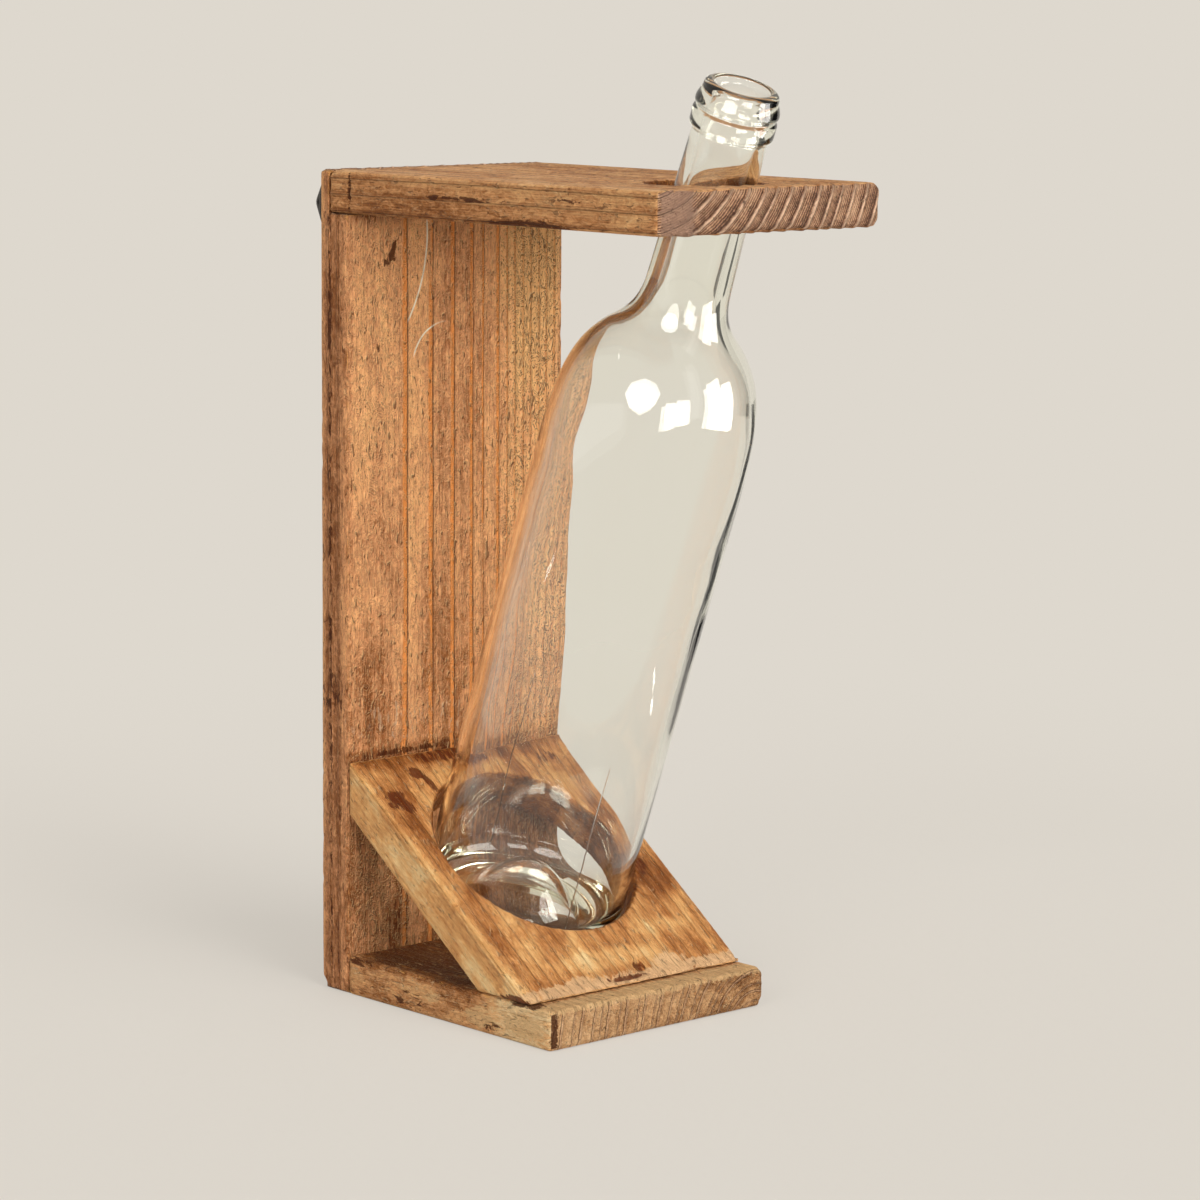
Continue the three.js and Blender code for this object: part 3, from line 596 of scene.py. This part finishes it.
baseBoard = {
    **wood,
    "slot": "base_wood",
    "grain": (0.0, 1.0, 0.0), "grainTurn": (math.pi / 2, 0.0, 0.0), "pith": (47.0, 0.0, -6.0),
    "rings": [0, 4, 7, 9, 13, 15.5, 20.5, 23, 25, 30.5, 33, 38, 40, 44.5, 50, 52, 57.5,
              60, 66.5, 69, 75, 77.5, 81, 87, 90, 96, 98.5, 104, 107, 112, 118],
    "endTones": [(0.0, srgb(100, 56, 24)), (0.3, srgb(176, 124, 78)), (0.6, srgb(222, 172, 122)),
                 (1.0, srgb(246, 204, 154))],
    "lineTone": srgb(122, 68, 30), "edgeTone": srgb(248, 186, 106), "paleTone": srgb(234, 192, 138),
    "line": 0.2, "groove": 0.15, "endLine": 0.22, "endRings": 0.10, "mottle": 0.4, "streaks": 0.08,
    "curls": 0.2, "edge": 0.95, "rubbed": 1.15, "relief": 0.12,
    "seed": 12.4, "restsAt": 0.0, "voxel": 0.8 * mm,
    "tonesAndPaintedShading": [(-52.5, -49, 8, 4, 30, 20, 0.60), (-52.5, 20, 8, 4, 40, 20, 0.06),
               # first place on this line: painted shade on the base's top under the seat and the bottle
               (0, 10, 14.5, 90, 70, 4, -0.6), (40, -64.8, 8, 22, 4, 20, -0.16),
               (-10, -60, 14.5, 90, 10, 3, 0.12), (-25, -64.8, 8, 40, 4, 30, 0.14)],
    "stainsAndPaintedShade": [(-51.6, -64.8, 7, 3, 1.2, 17, 1.1), (-52.5, 44, 14, 3, 12, 3, 0.7),
               # first place on this line: painted shade in the gap under the seat's left foot
               (-50, -50, 14.5, 7, 10, 1.6, 0.9), (-52.5, 12, 4, 3, 14, 5, 0.45),
               (-52.5, -34, 3, 3, 8, 2.4, 0.5)],
    "pales": [(0, -60, 14.5, 900, 9, 4, 0.8), (-52.5, -50, 7, 3, 18, 7, 0.85),
              (-52.5, -26, 6, 3, 12, 6, 0.7), (-52.5, 2, 8, 3, 9, 4, 0.55),
              (-52.5, 30, 6, 3, 9, 3, 0.4)],
    "dents": [(-52.2, -64.2, 9, 2, 1.6, 14, 0.8), (52.5, -64.8, 14.5, 3, 4, 3, 0.8),
              (52.5, -64.8, 0.6, 4, 4, 3, 0.8), (-10, -64.8, 14.5, 14, 3, 2, 0.5)],
}

seatLean = math.radians(36.1)
seatBoard = {
    **wood,
    "slot": "seat_wood",
    "grain": (0.0, -math.cos(seatLean), -math.sin(seatLean)),
    "grainTurn": (math.pi / 2 - seatLean, 0.0, 0.0), "pith": (-70.0, 0.0, 40.0),
    "rings": [0.0, 10.0] + [10.0 + 5.2 * i for i in range(1, 26)],
    "tones": [(0.0, srgb(92, 42, 12)), (0.28, srgb(156, 92, 42)), (0.52, srgb(208, 142, 82)),
              (0.75, srgb(238, 180, 114)), (1.0, srgb(252, 216, 156))],
    "lineTone": srgb(140, 76, 30), "stainAndShadeTone": srgb(98, 40, 12), "paleTone": srgb(238, 194, 146),
    "line": 0.14, "groove": 0.12, "streaks": 0.07, "mottle": 0.36, "hair": 0.13, "cloud": 0.12,
    "late": 0.04, "ringShade": 0.08, "rubbed": 0.9,
    "hole": ((0.0, 3.75, 55.55), (0.0, -math.sin(seatLean), math.cos(seatLean)), 40.6), "holePaintedShade": -0.34,
    "curls": 0.04, "pores": 0.4, "poreHighlights": 0.3, "roughness": 0.5, "wax": 0.06,
    "seed": 18.9, "voxel": 0.8 * mm,
    "tonesAndPaintedShading": [(-52.5, 0, 40, 4, 150, 100, 0.19), (0, 0, 50, 900, 900, 900, 0.03),
               # painted shade along the joint with the back board
               (0, 47, 88, 90, 9, 9, -0.3),
               # first place on this line: a painted sheen across the front
               (-6, -42, 23, 34, 8, 6, 0.26), (30, -34, 29, 16, 6, 5, 0.2),
               (42, -16, 43, 12, 16, 14, -0.38), (46, 16, 66, 8, 16, 14, -0.12),
               (-40, -18, 40, 10, 12, 10, 0.12), (-42, 4, 57, 8, 8, 8, -0.12),
               (-44, 26, 72, 14, 20, 16, -0.14)],
    "stainsAndPaintedShade": [(-43.5, 31.5, 76, 6, 5, 5, 0.95), (-41, 27.5, 73, 4, 6, 6, 0.95),
               # the second place on this line: painted shade in the gap at the seat's left foot
               (-46, 29, 74, 5, 3, 3, 0.8), (-52.5, -46, 15.4, 4, 12, 1.8, 1),
               (-27.2, 39.5, 82, 5, 4.5, 4.5, 0.85), (-24.5, 34.5, 78, 3, 6, 6, 0.8),
               (-8, 45, 86, 22, 5, 4, 0.75), (-2, -49.2, 17, 14, 2.4, 1.1, 0.9),
               (7, -46.6, 19.6, 4, 3.4, 3.4, 0.9), (40, -10, 47, 6, 7, 6, 0.5),
               (36, 40, 83, 12, 6, 4, 0.4)],
    "pales": [(0, -52, 16, 900, 8, 6.4, 0.85), (21, -47, 19.4, 12, 6, 5, 0.9),
              (-24, -49, 18.4, 12, 5, 4, 0.8)],
    "dents": [(-2, -49.4, 17, 14, 3, 1.8, 1.2), (7, -46.6, 19.6, 5, 4, 4, 1.5),
              (14, -54.6, 17, 30, 3.5, 3, 0.7),
              (-43.5, 31.5, 76, 5, 5, 5, 0.3), (-44, -54, 16, 10, 4, 2.5, 0.8),
              (30, -54.6, 15.6, 12, 4, 2, 0.7), (52.5, -54, 16, 4, 6, 4, 1),
              (-25, -54.6, 16, 6, 4, 2, 0.5)],
}

for name, look in (("back_board", backBoard), ("top_shelf", topShelf), ("base_board", baseBoard),
                   ("seat_board", seatBoard)):
    weatherBoard(name, look)
    print("board done:", name)


# The bottle, turned from its section

# mm, with the shoulder's slope in degrees and the places of the mould's seams in radians
bottle = {
    "radius": 37.7, "heel": 5.0, "restWidth": 3.7, "restRise": 1.0,
    "punt": 20.0, "baseGlass": 5.5, "floor": 9.5, "floorFillet": 12.5, "floorRing": 8.1,
    "wall": 2.6, "body": 187.0, "shoulderRise": 50.4, "shoulderTop": 26.0, "shoulderSlope": 38.9,
    "flareRise": 22.8, "neckRoot": 15.1, "neckLength": 55.3, "neckTop": 13.4,
    "uprightPull": 0.66, "slopePull": 0.22,
    "neckBore": 9.9, "neckBoreRoot": 10.3,
    "collarRise": 2.0, "collarHeight": 5.2, "collar": 15.0, "groove": 2.0, "grooveDepth": 0.7,
    "lipHeight": 8.3, "lip": 13.4, "lipRound": 2.0, "mouth": 10.0, "mouthRound": 0.8,
    "steps": 144, "unevenInside": 0.46, "unevenOutside": 0.05,
    "seams": (-1.86, 1.28), "seamHeight": (9.0, 92.0), "seamHalf": 0.007, "seamRise": 0.3,
    "tint": (0.995, 0.995, 0.985), "glassColour": (0.80, 0.84, 0.30), "glassDensity": 14.0,
}


def bend(*ends, count):
    # a curve between the first and last of four points, drawn by the middle two
    corners = [Vector((x, z, 0.0)) for x, z in ends]
    return [(p.x, p.y) for p in interpolate_bezier(*corners, count)]


def arc(x, z, radius, start, end, count):
    angles = [math.radians(start + (end - start) * i / (count - 1)) for i in range(count)]
    return [(x + radius * math.cos(a), z + radius * math.sin(a)) for a in angles]


def inset(line, thickness):
    moved = []
    for i, (x, z) in enumerate(line):
        x0, z0 = line[max(i - 1, 0)]
        x1, z1 = line[min(i + 1, len(line) - 1)]
        size = math.hypot(x1 - x0, z1 - z0)
        distance = thickness(z)
        moved.append((x - (z1 - z0) / size * distance, z + (x1 - x0) / size * distance))
    return moved


def bottleOutside(b):
    slope = math.radians(b["shoulderSlope"])
    leanX, leanZ = -math.sin(slope), math.cos(slope)
    top = b["body"] + b["shoulderRise"]
    root = top + b["flareRise"]
    arm = b["radius"] - b["heel"]
    body = [(b["radius"], b["heel"] + (b["body"] - b["heel"]) * i / 24) for i in range(1, 24)]
    upright, sloped = b["uprightPull"], b["slopePull"]
    bulge = bend((b["radius"], b["body"]), (b["radius"], b["body"] + b["shoulderRise"] * upright),
                 (b["shoulderTop"] - leanX * b["shoulderRise"] * sloped,
                  top - leanZ * b["shoulderRise"] * sloped), (b["shoulderTop"], top), count=22)
    flare = bend((b["shoulderTop"], top),
                 (b["shoulderTop"] + leanX * b["flareRise"] * sloped, top + leanZ * b["flareRise"] * sloped),
                 (b["neckRoot"], root - b["flareRise"] * upright), (b["neckRoot"], root), count=14)
    return arc(arm, b["heel"], b["heel"], -90, 0, 8), body + bulge + flare[1:], root


def bottleSection(b):
    heel, side, root = bottleOutside(b)
    neckEnd = root + b["neckLength"]
    collarFoot = neckEnd + b["collarRise"]
    collarTop = collarFoot + b["collarHeight"]
    grooveBed = b["collar"] - b["grooveDepth"]
    grooveMiddle = collarTop + b["groove"] / 2
    lipFoot = collarTop + b["groove"]
    top = lipFoot + b["lipHeight"]
    puntEdge = b["radius"] - b["heel"] - b["restWidth"]
    inner = b["radius"] - b["wall"]
    floorEdge = inner - b["floorRing"]
    dome = b["punt"] + b["baseGlass"]
    neck = [(b["neckRoot"] + (b["neckTop"] - b["neckRoot"]) * i / 8, root + b["neckLength"] * i / 8)
            for i in range(1, 8)]
    outside = (bend((0.0, b["punt"]), (puntEdge * 0.45, b["punt"]), (puntEdge * 0.7, b["punt"] * 0.25),
                    (puntEdge, b["restRise"]), count=16)
               + heel + side + neck
               + bend((b["neckTop"], neckEnd - 0.6), (b["neckTop"] + 0.1, neckEnd + 0.8),
                      (b["collar"], collarFoot - 1.2), (b["collar"], collarFoot + 0.4), count=7)
               + bend((b["collar"], collarTop - 0.5), (b["collar"], collarTop + 0.2),
                      (grooveBed - 0.2, collarTop + 0.4), (grooveBed - 0.2, grooveMiddle), count=5)
               + bend((grooveBed - 0.2, grooveMiddle), (grooveBed, lipFoot - 0.3),
                      (b["collar"], lipFoot - 0.2), (b["collar"], lipFoot + 0.8), count=6)[1:]
               + bend((b["collar"], lipFoot + 0.8), (b["collar"] - 0.1, lipFoot + 3.0),
                      (b["lip"] + 0.3, top - 4.4), (b["lip"], top - b["lipRound"]), count=8)[1:]
               + arc(b["lip"] - b["lipRound"], top - b["lipRound"], b["lipRound"], 0, 90, 7)[1:])
    bore = (arc(b["mouth"] + b["mouthRound"], top - b["mouthRound"], b["mouthRound"], 90, 180, 5)
            + [(b["mouth"], neckEnd + 2.0 + 1.8 * i) for i in range(7, 0, -1)]
            + bend((b["mouth"], neckEnd), (b["mouth"], neckEnd - 3.0),
                   (b["neckBore"], neckEnd - 2.0), (b["neckBore"], neckEnd - b["collarHeight"]), count=5))
    neckInside = [(b["neckBore"] + (b["neckBoreRoot"] - b["neckBore"]) * i / 7,
                   neckEnd - b["collarHeight"] - (b["neckLength"] - b["collarHeight"]) * i / 7)
                  for i in range(1, 7)]

    def thickness(z):
        share = min(max((z - b["body"]) / (root - b["body"]), 0.0), 1.0)
        return b["wall"] + (b["neckRoot"] - b["neckBoreRoot"] - b["wall"]) * share * share

    wallInside = [p for p in reversed(inset(side, thickness)) if p[1] > b["floor"] + b["floorFillet"]]
    floor = (bend((inner, b["floor"] + b["floorFillet"]), (inner, b["floor"]), (floorEdge, b["floor"]),
                  (floorEdge, b["floor"]), count=9)
             + bend((floorEdge, b["floor"]), (floorEdge * 0.7, b["floor"]), (floorEdge * 0.45, dome),
                    (0.0, dome), count=16)[1:])
    return outside, bore + neckInside + wallInside + floor


def bottlePlace(b):
    # the foot's middle, from the solid's box: the heel is its lowest and, at the back, its widest place
    low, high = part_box("glass_bottle")
    lean = math.atan2(-liftAxis.y, liftAxis.z)
    arm = (b["radius"] - b["heel"]) * mm
    heel = b["heel"] * mm
    footZ = low.z + heel - heel * math.cos(lean) + arm * math.sin(lean)
    footY = high.y - heel - arm * math.cos(lean) + heel * math.sin(lean)
    return Matrix.Translation((0.0, footY, footZ)) @ Matrix.Rotation(lean, 4, "X")


def glassMaterial(b):
    material, tree, out = newMaterial("bottle_glass")
    where = place(tree, "ShaderNodeTexCoord").outputs["Object"]
    haze = grain(tree, where, 90.0, 3.0)
    smear = ramp(tree, haze, 0.45, 0.8, 0.0, 0.012)
    # the two raised seams of the mould, low on the outside
    around = calc(tree, "MULTIPLY_ADD", grain(tree, where, 60.0, 2.0), 0.03, attribute(tree, "around"))
    away = [calc(tree, "ABSOLUTE", calc(tree, "SUBTRACT", around, angle)) for angle in b["seams"]]
    ridge = ramp(tree, calc(tree, "MINIMUM", *away), 0.0, b["seamHalf"], 1.0, 0.0)
    low, high = b["seamHeight"]
    upward = attribute(tree, "upward")
    ridge = calc(tree, "MULTIPLY", ridge, ramp(tree, upward, low, low + 4.0))
    ridge = calc(tree, "MULTIPLY", ridge, ramp(tree, upward, high - 25.0, high, 1.0, 0.0))
    seam = place(tree, "ShaderNodeBump", {"Height": ridge, "Strength": 1.0, "Distance": b["seamRise"] * mm})
    shader = place(tree, "ShaderNodeBsdfPrincipled", {
        "Base Color": (*b["tint"], 1.0), "Roughness": smear, "IOR": 1.5, "Transmission Weight": 1.0,
        "Normal": seam.outputs[0]})
    tree.links.new(shader.outputs[0], out.inputs["Surface"])
    depth = place(tree, "ShaderNodeVolumeAbsorption", {
        "Color": (*b["glassColour"], 1.0), "Density": b["glassDensity"]})
    tree.links.new(depth.outputs[0], out.inputs["Volume"])
    return material


def turnBottle(b):
    outside, inside = bottleSection(b)
    line = outside + inside
    made = bmesh.new()
    verts = [made.verts.new((x * mm, 0.0, z * mm)) for x, z in line]
    rim = [made.edges.new(pair) for pair in zip(verts, verts[1:])]
    bmesh.ops.spin(made, geom=verts + rim, cent=(0, 0, 0), axis=(0, 0, 1), angle=2 * math.pi,
                   steps=b["steps"], use_merge=True)
    bmesh.ops.remove_doubles(made, verts=made.verts, dist=1e-6)
    bmesh.ops.recalc_face_normals(made, faces=made.faces)
    # the glass is uneven, mostly on its inner wall and not at its foot
    for vert in made.verts:
        radial = Vector((vert.co.x, vert.co.y, 0.0))
        if radial.length < 1e-6:
            continue
        isInner = radial.dot(vert.normal) < 0.0
        amount = b["unevenInside" if isInner else "unevenOutside"]
        amount *= min(1.0, max(0.0, (vert.co.z / mm - 8.0) / 30.0))
        swirl = noise.noise(vert.co * 26.0 + Vector((4.0, 1.0, 7.0)))
        swirl += 0.5 * noise.noise(vert.co * 64.0)
        vert.co += radial.normalized() * swirl * amount * mm
    mesh = bpy.data.meshes.new("glass_bottle_piece")
    made.to_mesh(mesh)
    made.free()
    # where the seams go; the inner wall is set apart, because it has none
    points = readVectors(mesh.vertices, "co")
    inner = np.hypot(points[:, 0], points[:, 1]) < (b["radius"] - b["wall"] * 0.6) * mm
    storeMask(mesh, "around", np.arctan2(points[:, 1], points[:, 0]) + 9.0 * inner)
    storeMask(mesh, "upward", points[:, 2] / mm)
    mesh.transform(bottlePlace(b))
    makeSmooth(mesh)
    piece = addObject("glass_bottle_piece", mesh)
    mesh.materials.append(glassMaterial(b))
    piece.visible_shadow = False
    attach(piece, "bottle")
    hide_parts("glass_bottle")


turnBottle(bottle)
print("bottle done")


# Iron and steel

def metalMaterial(name, look):
    material, tree, out = newMaterial(name)
    where = place(tree, "ShaderNodeTexCoord").outputs["Object"]
    cloud = grain(tree, where, 420.0, 4.0, 0.6)
    speck = ramp(tree, grain(tree, where, 1500.0, 2.0), 0.6, 0.75)
    colour = mixColour(tree, cloud, look["colour"], look["other"])
    colour = mixColour(tree, calc(tree, "MULTIPLY", speck, look["rust"]), colour, look["rustTone"])
    rough = calc(tree, "MULTIPLY_ADD", cloud, 0.25, look["roughness"])
    bump = place(tree, "ShaderNodeBump", {"Height": cloud, "Strength": 0.4, "Distance": 0.0002})
    shader = place(tree, "ShaderNodeBsdfPrincipled", {
        "Base Color": colour, "Metallic": look["metallic"], "Roughness": rough, "Normal": bump.outputs[0]})
    tree.links.new(shader.outputs[0], out.inputs["Surface"])
    return material


blackIron = metalMaterial("hanger_iron", {
    "colour": (0.020, 0.017, 0.015), "other": (0.045, 0.040, 0.036), "rust": 0.35,
    "rustTone": (0.16, 0.07, 0.03), "roughness": 0.34, "metallic": 0.4})
zincSteel = metalMaterial("screw_steel", {
    "colour": (0.50, 0.49, 0.47), "other": (0.36, 0.35, 0.34), "rust": 0.4,
    "rustTone": (0.30, 0.17, 0.09), "roughness": 0.30, "metallic": 1.0})

# voxel of the copy, rounds of smoothing; a cross recess: half width, half length, depth, in mm
fittings = {
    "strap": {"voxel": 0.25, "smooth": 5},
    "ring": {"voxel": 0.20, "smooth": 8},
    "hanger_screw": {"voxel": 0.14, "smooth": 3, "cross": (0.34, 1.35, 0.8)},
    "wood_screw": {"voxel": 0.20, "smooth": 2, "cross": (0.48, 1.9, 1.3)},
}


def cutCross(mesh, look, alongZ, turn):
    # presses a cross into the head, which is at the back, or underneath for a screw that stands up
    points = readVectors(mesh.vertices, "co")
    offset = points - (points.min(axis=0) + points.max(axis=0)) / 2
    a, b = offset[:, 0], offset[:, 1 if alongZ else 2]
    u = np.abs(a * math.cos(turn) + b * math.sin(turn)) / mm
    v = np.abs(b * math.cos(turn) - a * math.sin(turn)) / mm
    half, reach, depth = look["cross"]
    arms = [(1.0 - smoothStep(across, half * 0.7, half * 1.3)) * (1.0 - smoothStep(along, reach * 0.7, reach))
            for across, along in ((u, v), (v, u))]
    cross = np.maximum(*arms)
    way, inwards = (2, 1.0) if alongZ else (1, -1.0)
    height = points[:, way] * inwards
    near = 1.0 - smoothStep(height - height.min(), 0.9 * mm, 1.3 * mm)
    points[:, way] += inwards * cross * near * depth * mm
    mesh.vertices.foreach_set("co", points.ravel())
    mesh.update()


def finishFitting(name, kind, turn):
    look = fittings[kind]
    piece = fineCopy(name, look["voxel"] * mm)
    if "cross" in look:
        cutCross(piece.data, look, name.startswith("foot"), turn)
    soft = piece.modifiers.new("soft", "SMOOTH")
    soft.factor = 0.5
    soft.iterations = look["smooth"]
    applyModifiers(piece)
    makeSmooth(piece.data)
    iron = name.startswith("hanger")
    piece.data.materials.clear()
    piece.data.materials.append(blackIron if iron else zincSteel)
    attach(piece, {"hanger_ring_left": "left_ring", "hanger_ring_right": "right_ring"}.get(name, "frame"))
    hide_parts(name)


for number, name in enumerate(sorted(n for n in nodes if n.startswith("hanger") or "screw" in n)):
    if name.startswith("hanger_screw"):
        kind = "hanger_screw"
    elif "screw" in name:
        kind = "wood_screw"
    else:
        kind = "ring" if "ring" in name else "strap"
    finishFitting(name, kind, 0.7 * number)
print("metal done")


# Floor, world, lamps and camera

def seenPart(tree):
    # 1 for the rays by which the camera sees the surroundings: straight, mirrored or through glass
    path = place(tree, "ShaderNodeLightPath").outputs
    return calc(tree, "MAXIMUM", path["Is Camera Ray"],
                calc(tree, "MAXIMUM", path["Is Glossy Ray"], path["Is Transmission Ray"]))


studio = {
    "shadow": 0.36, "shadowReach": (0.30, 0.80), "floorShade": (0.955, 0.962, 0.985),
    "sky": 0.46, "skyTone": (1.0, 0.975, 0.94),
    "sunTone": (1.0, 0.985, 0.965), "cardTone": (1.0, 0.985, 0.96),
    "suns": {"key": {"power": 1.15, "azimuth": 0.0, "height": 55.0, "angle": 34.0},
             "front": {"power": 2.20, "azimuth": -8.0, "height": 9.0, "angle": 26.0},
             "fill": {"power": 0.95, "azimuth": -75.0, "height": 25.0, "angle": 30.0}},
}


def floorMaterial(look):
    material, tree, out = newMaterial("floor")
    where = place(tree, "ShaderNodeTexCoord").outputs["Object"]
    away = vectorMath(tree, "LENGTH", where)["Value"]
    near = ramp(tree, away, *look["shadowReach"], look["shadow"], 0.0)
    matte = place(tree, "ShaderNodeBsdfDiffuse", {
        "Color": (*(c * shade for c, shade in zip(background, look["floorShade"])), 1.0)})
    plain = place(tree, "ShaderNodeEmission", {"Color": (*background, 1.0), "Strength": 1.0})
    plainShare = calc(tree, "MULTIPLY", seenPart(tree), calc(tree, "SUBTRACT", 1.0, near))
    share = calc(tree, "SUBTRACT", 1.0, plainShare)
    both = place(tree, "ShaderNodeMixShader", (share, plain.outputs[0], matte.outputs[0]))
    # open from below, so that the underside can be looked at
    below = place(tree, "ShaderNodeNewGeometry").outputs["Backfacing"]
    clear = place(tree, "ShaderNodeBsdfTransparent")
    shown = place(tree, "ShaderNodeMixShader", (below, both.outputs[0], clear.outputs[0]))
    tree.links.new(shown.outputs[0], out.inputs["Surface"])
    return material


def makeFloor(look):
    made = bmesh.new()
    bmesh.ops.create_circle(made, cap_ends=True, segments=96, radius=60.0)
    mesh = bpy.data.meshes.new("floor")
    made.to_mesh(mesh)
    made.free()
    mesh.transform(Matrix.Translation((0.0, 0.0, -0.0002)))
    mesh.materials.append(floorMaterial(look))
    floor = addObject("floor", mesh)


def makeWorld(look):
    world = bpy.data.worlds.new("studio")
    bpy.context.scene.world = world
    world.use_nodes = True
    tree = world.node_tree
    tree.nodes.clear()
    plain = place(tree, "ShaderNodeBackground", {"Color": (*background, 1.0), "Strength": 1.0})
    soft = place(tree, "ShaderNodeBackground", {"Color": (*look["skyTone"], 1.0), "Strength": look["sky"]})
    both = place(tree, "ShaderNodeMixShader", (seenPart(tree), soft.outputs[0], plain.outputs[0]))
    out = tree.nodes.new("ShaderNodeOutputWorld")
    tree.links.new(both.outputs[0], out.inputs["Surface"])


def direction(azimuth, height):
    # from the vase outwards: azimuth 0 is the front, positive to the right
    a, h = math.radians(azimuth), math.radians(height)
    return Vector((math.sin(a) * math.cos(h), -math.cos(a) * math.cos(h), math.sin(h)))


# the softboxes, dark flags and reflectors that show in the glass, all turned to the bottle's shoulder;
# in metres, with panes as shares of the size, or else one whole card
shoulder = Vector((-0.01, -0.06, 0.22))
wholeCard = (-0.5, -0.5, 0.5, 0.5)
brightGlow = 2.0
lamps = {
    "leftSoftbox": {"azimuth": -59.0, "height": 16.0, "away": 1.35, "size": (1.0, 0.80), "glow": 11.0,
                    "sides": 8},
    "frontSoftbox": {"azimuth": -17.8, "height": -2.9, "away": 0.48, "size": (0.236, 0.20), "glow": 11.0,
                     "panes": [(-0.5, -0.42, 0.06, 0.5), (0.1, -0.5, 0.5, 0.4)]},
    "rightSoftbox": {"azimuth": 36.0, "height": 2.3, "away": 0.48, "size": (0.31, 0.32), "glow": 11.0,
                     "panes": [(-0.5, -0.5, -0.06, 0.36), (-0.03, -0.5, 0.5, 0.5)]},
    "glint": {"azimuth": 57.4, "height": -55.0, "away": 0.2587, "size": (0.016, 0.0035), "glow": 11.0},
    "rightFlag": {"azimuth": 80.0, "height": 4.0, "away": 1.35, "size": (0.62, 1.8), "glow": 0.06},
    "lowFlag": {"azimuth": 106.0, "height": -15.0, "away": 0.45, "size": (0.10, 0.19), "glow": 0.06},
    "leftReflector": {"azimuth": -104.0, "height": -14.0, "away": 1.35, "size": (1.3, 1.1), "glow": 1.25},
    "frontReflector": {"azimuth": 4.0, "height": -2.0, "away": 1.35, "size": (0.36, 2.6), "glow": 1.5},
}


def makeSoftbox(name, look):
    # a glowing card that only glass and metal show, a bright one only as a mirror image
    made = bmesh.new()
    if "sides" in look:
        bmesh.ops.create_circle(made, cap_ends=True, segments=look["sides"], radius=0.5)
    else:
        for left, low, right, high in look.get("panes", [wholeCard]):
            corners = ((left, low), (right, low), (right, high), (left, high))
            made.faces.new([made.verts.new((x, y, 0.0)) for x, y in corners])
    bmesh.ops.scale(made, vec=(*look["size"], 1.0), verts=made.verts)
    mesh = bpy.data.meshes.new(name)
    made.to_mesh(mesh)
    made.free()
    material, tree, out = newMaterial(name)
    glow = place(tree, "ShaderNodeEmission", {"Color": (*studio["cardTone"], 1.0), "Strength": look["glow"]})
    if look["glow"] > brightGlow:
        mirrored = calc(tree, "MINIMUM", place(tree, "ShaderNodeLightPath").outputs["Glossy Depth"], 1.0)
        clear = place(tree, "ShaderNodeBsdfTransparent")
        glow = place(tree, "ShaderNodeMixShader", (mirrored, clear.outputs[0], glow.outputs[0]))
    tree.links.new(glow.outputs[0], out.inputs["Surface"])
    mesh.materials.append(material)
    card = addObject(name, mesh)
    away = direction(look["azimuth"], look["height"])
    card.location = shoulder + away * look["away"]
    card.rotation_euler = (-away).to_track_quat("Z", "Y").to_euler()
    card.visible_camera = False
    card.visible_diffuse = False
    card.visible_shadow = False


def makeSun(name, look):
    data = bpy.data.lights.new(name, "SUN")
    data.energy = look["power"]
    data.angle = math.radians(look["angle"])
    data.color = studio["sunTone"]
    sun = addObject(name, data)
    sun.rotation_euler = direction(look["azimuth"], look["height"]).to_track_quat("Z", "Y").to_euler()
    sun.visible_glossy = False
    sun.visible_transmission = False


camera = {"target": (0.0206, -0.0085, 0.1478), "azimuth": -42.36, "height": 8.63, "roll": 0.41,
          "away": 1.5496, "lens": 126.2}


def makeCamera(look):
    data = bpy.data.cameras.new("camera")
    data.lens = look["lens"]
    data.sensor_width = 36.0
    data.clip_end = 200.0
    viewer = addObject("camera", data)
    away = direction(look["azimuth"], look["height"])
    viewer.location = Vector(look["target"]) + away * look["away"]
    turn = away.to_track_quat("Z", "Y") @ Quaternion((0.0, 0.0, 1.0), math.radians(look["roll"]))
    viewer.rotation_euler = turn.to_euler()
    bpy.context.scene.camera = viewer


makeFloor(studio)
makeWorld(studio)
for name, look in studio["suns"].items():
    makeSun(name, look)
for name, look in lamps.items():
    makeSoftbox(name, look)
makeCamera(camera)
bpy.context.scene.view_settings.view_transform = "Standard"
print("stage done")
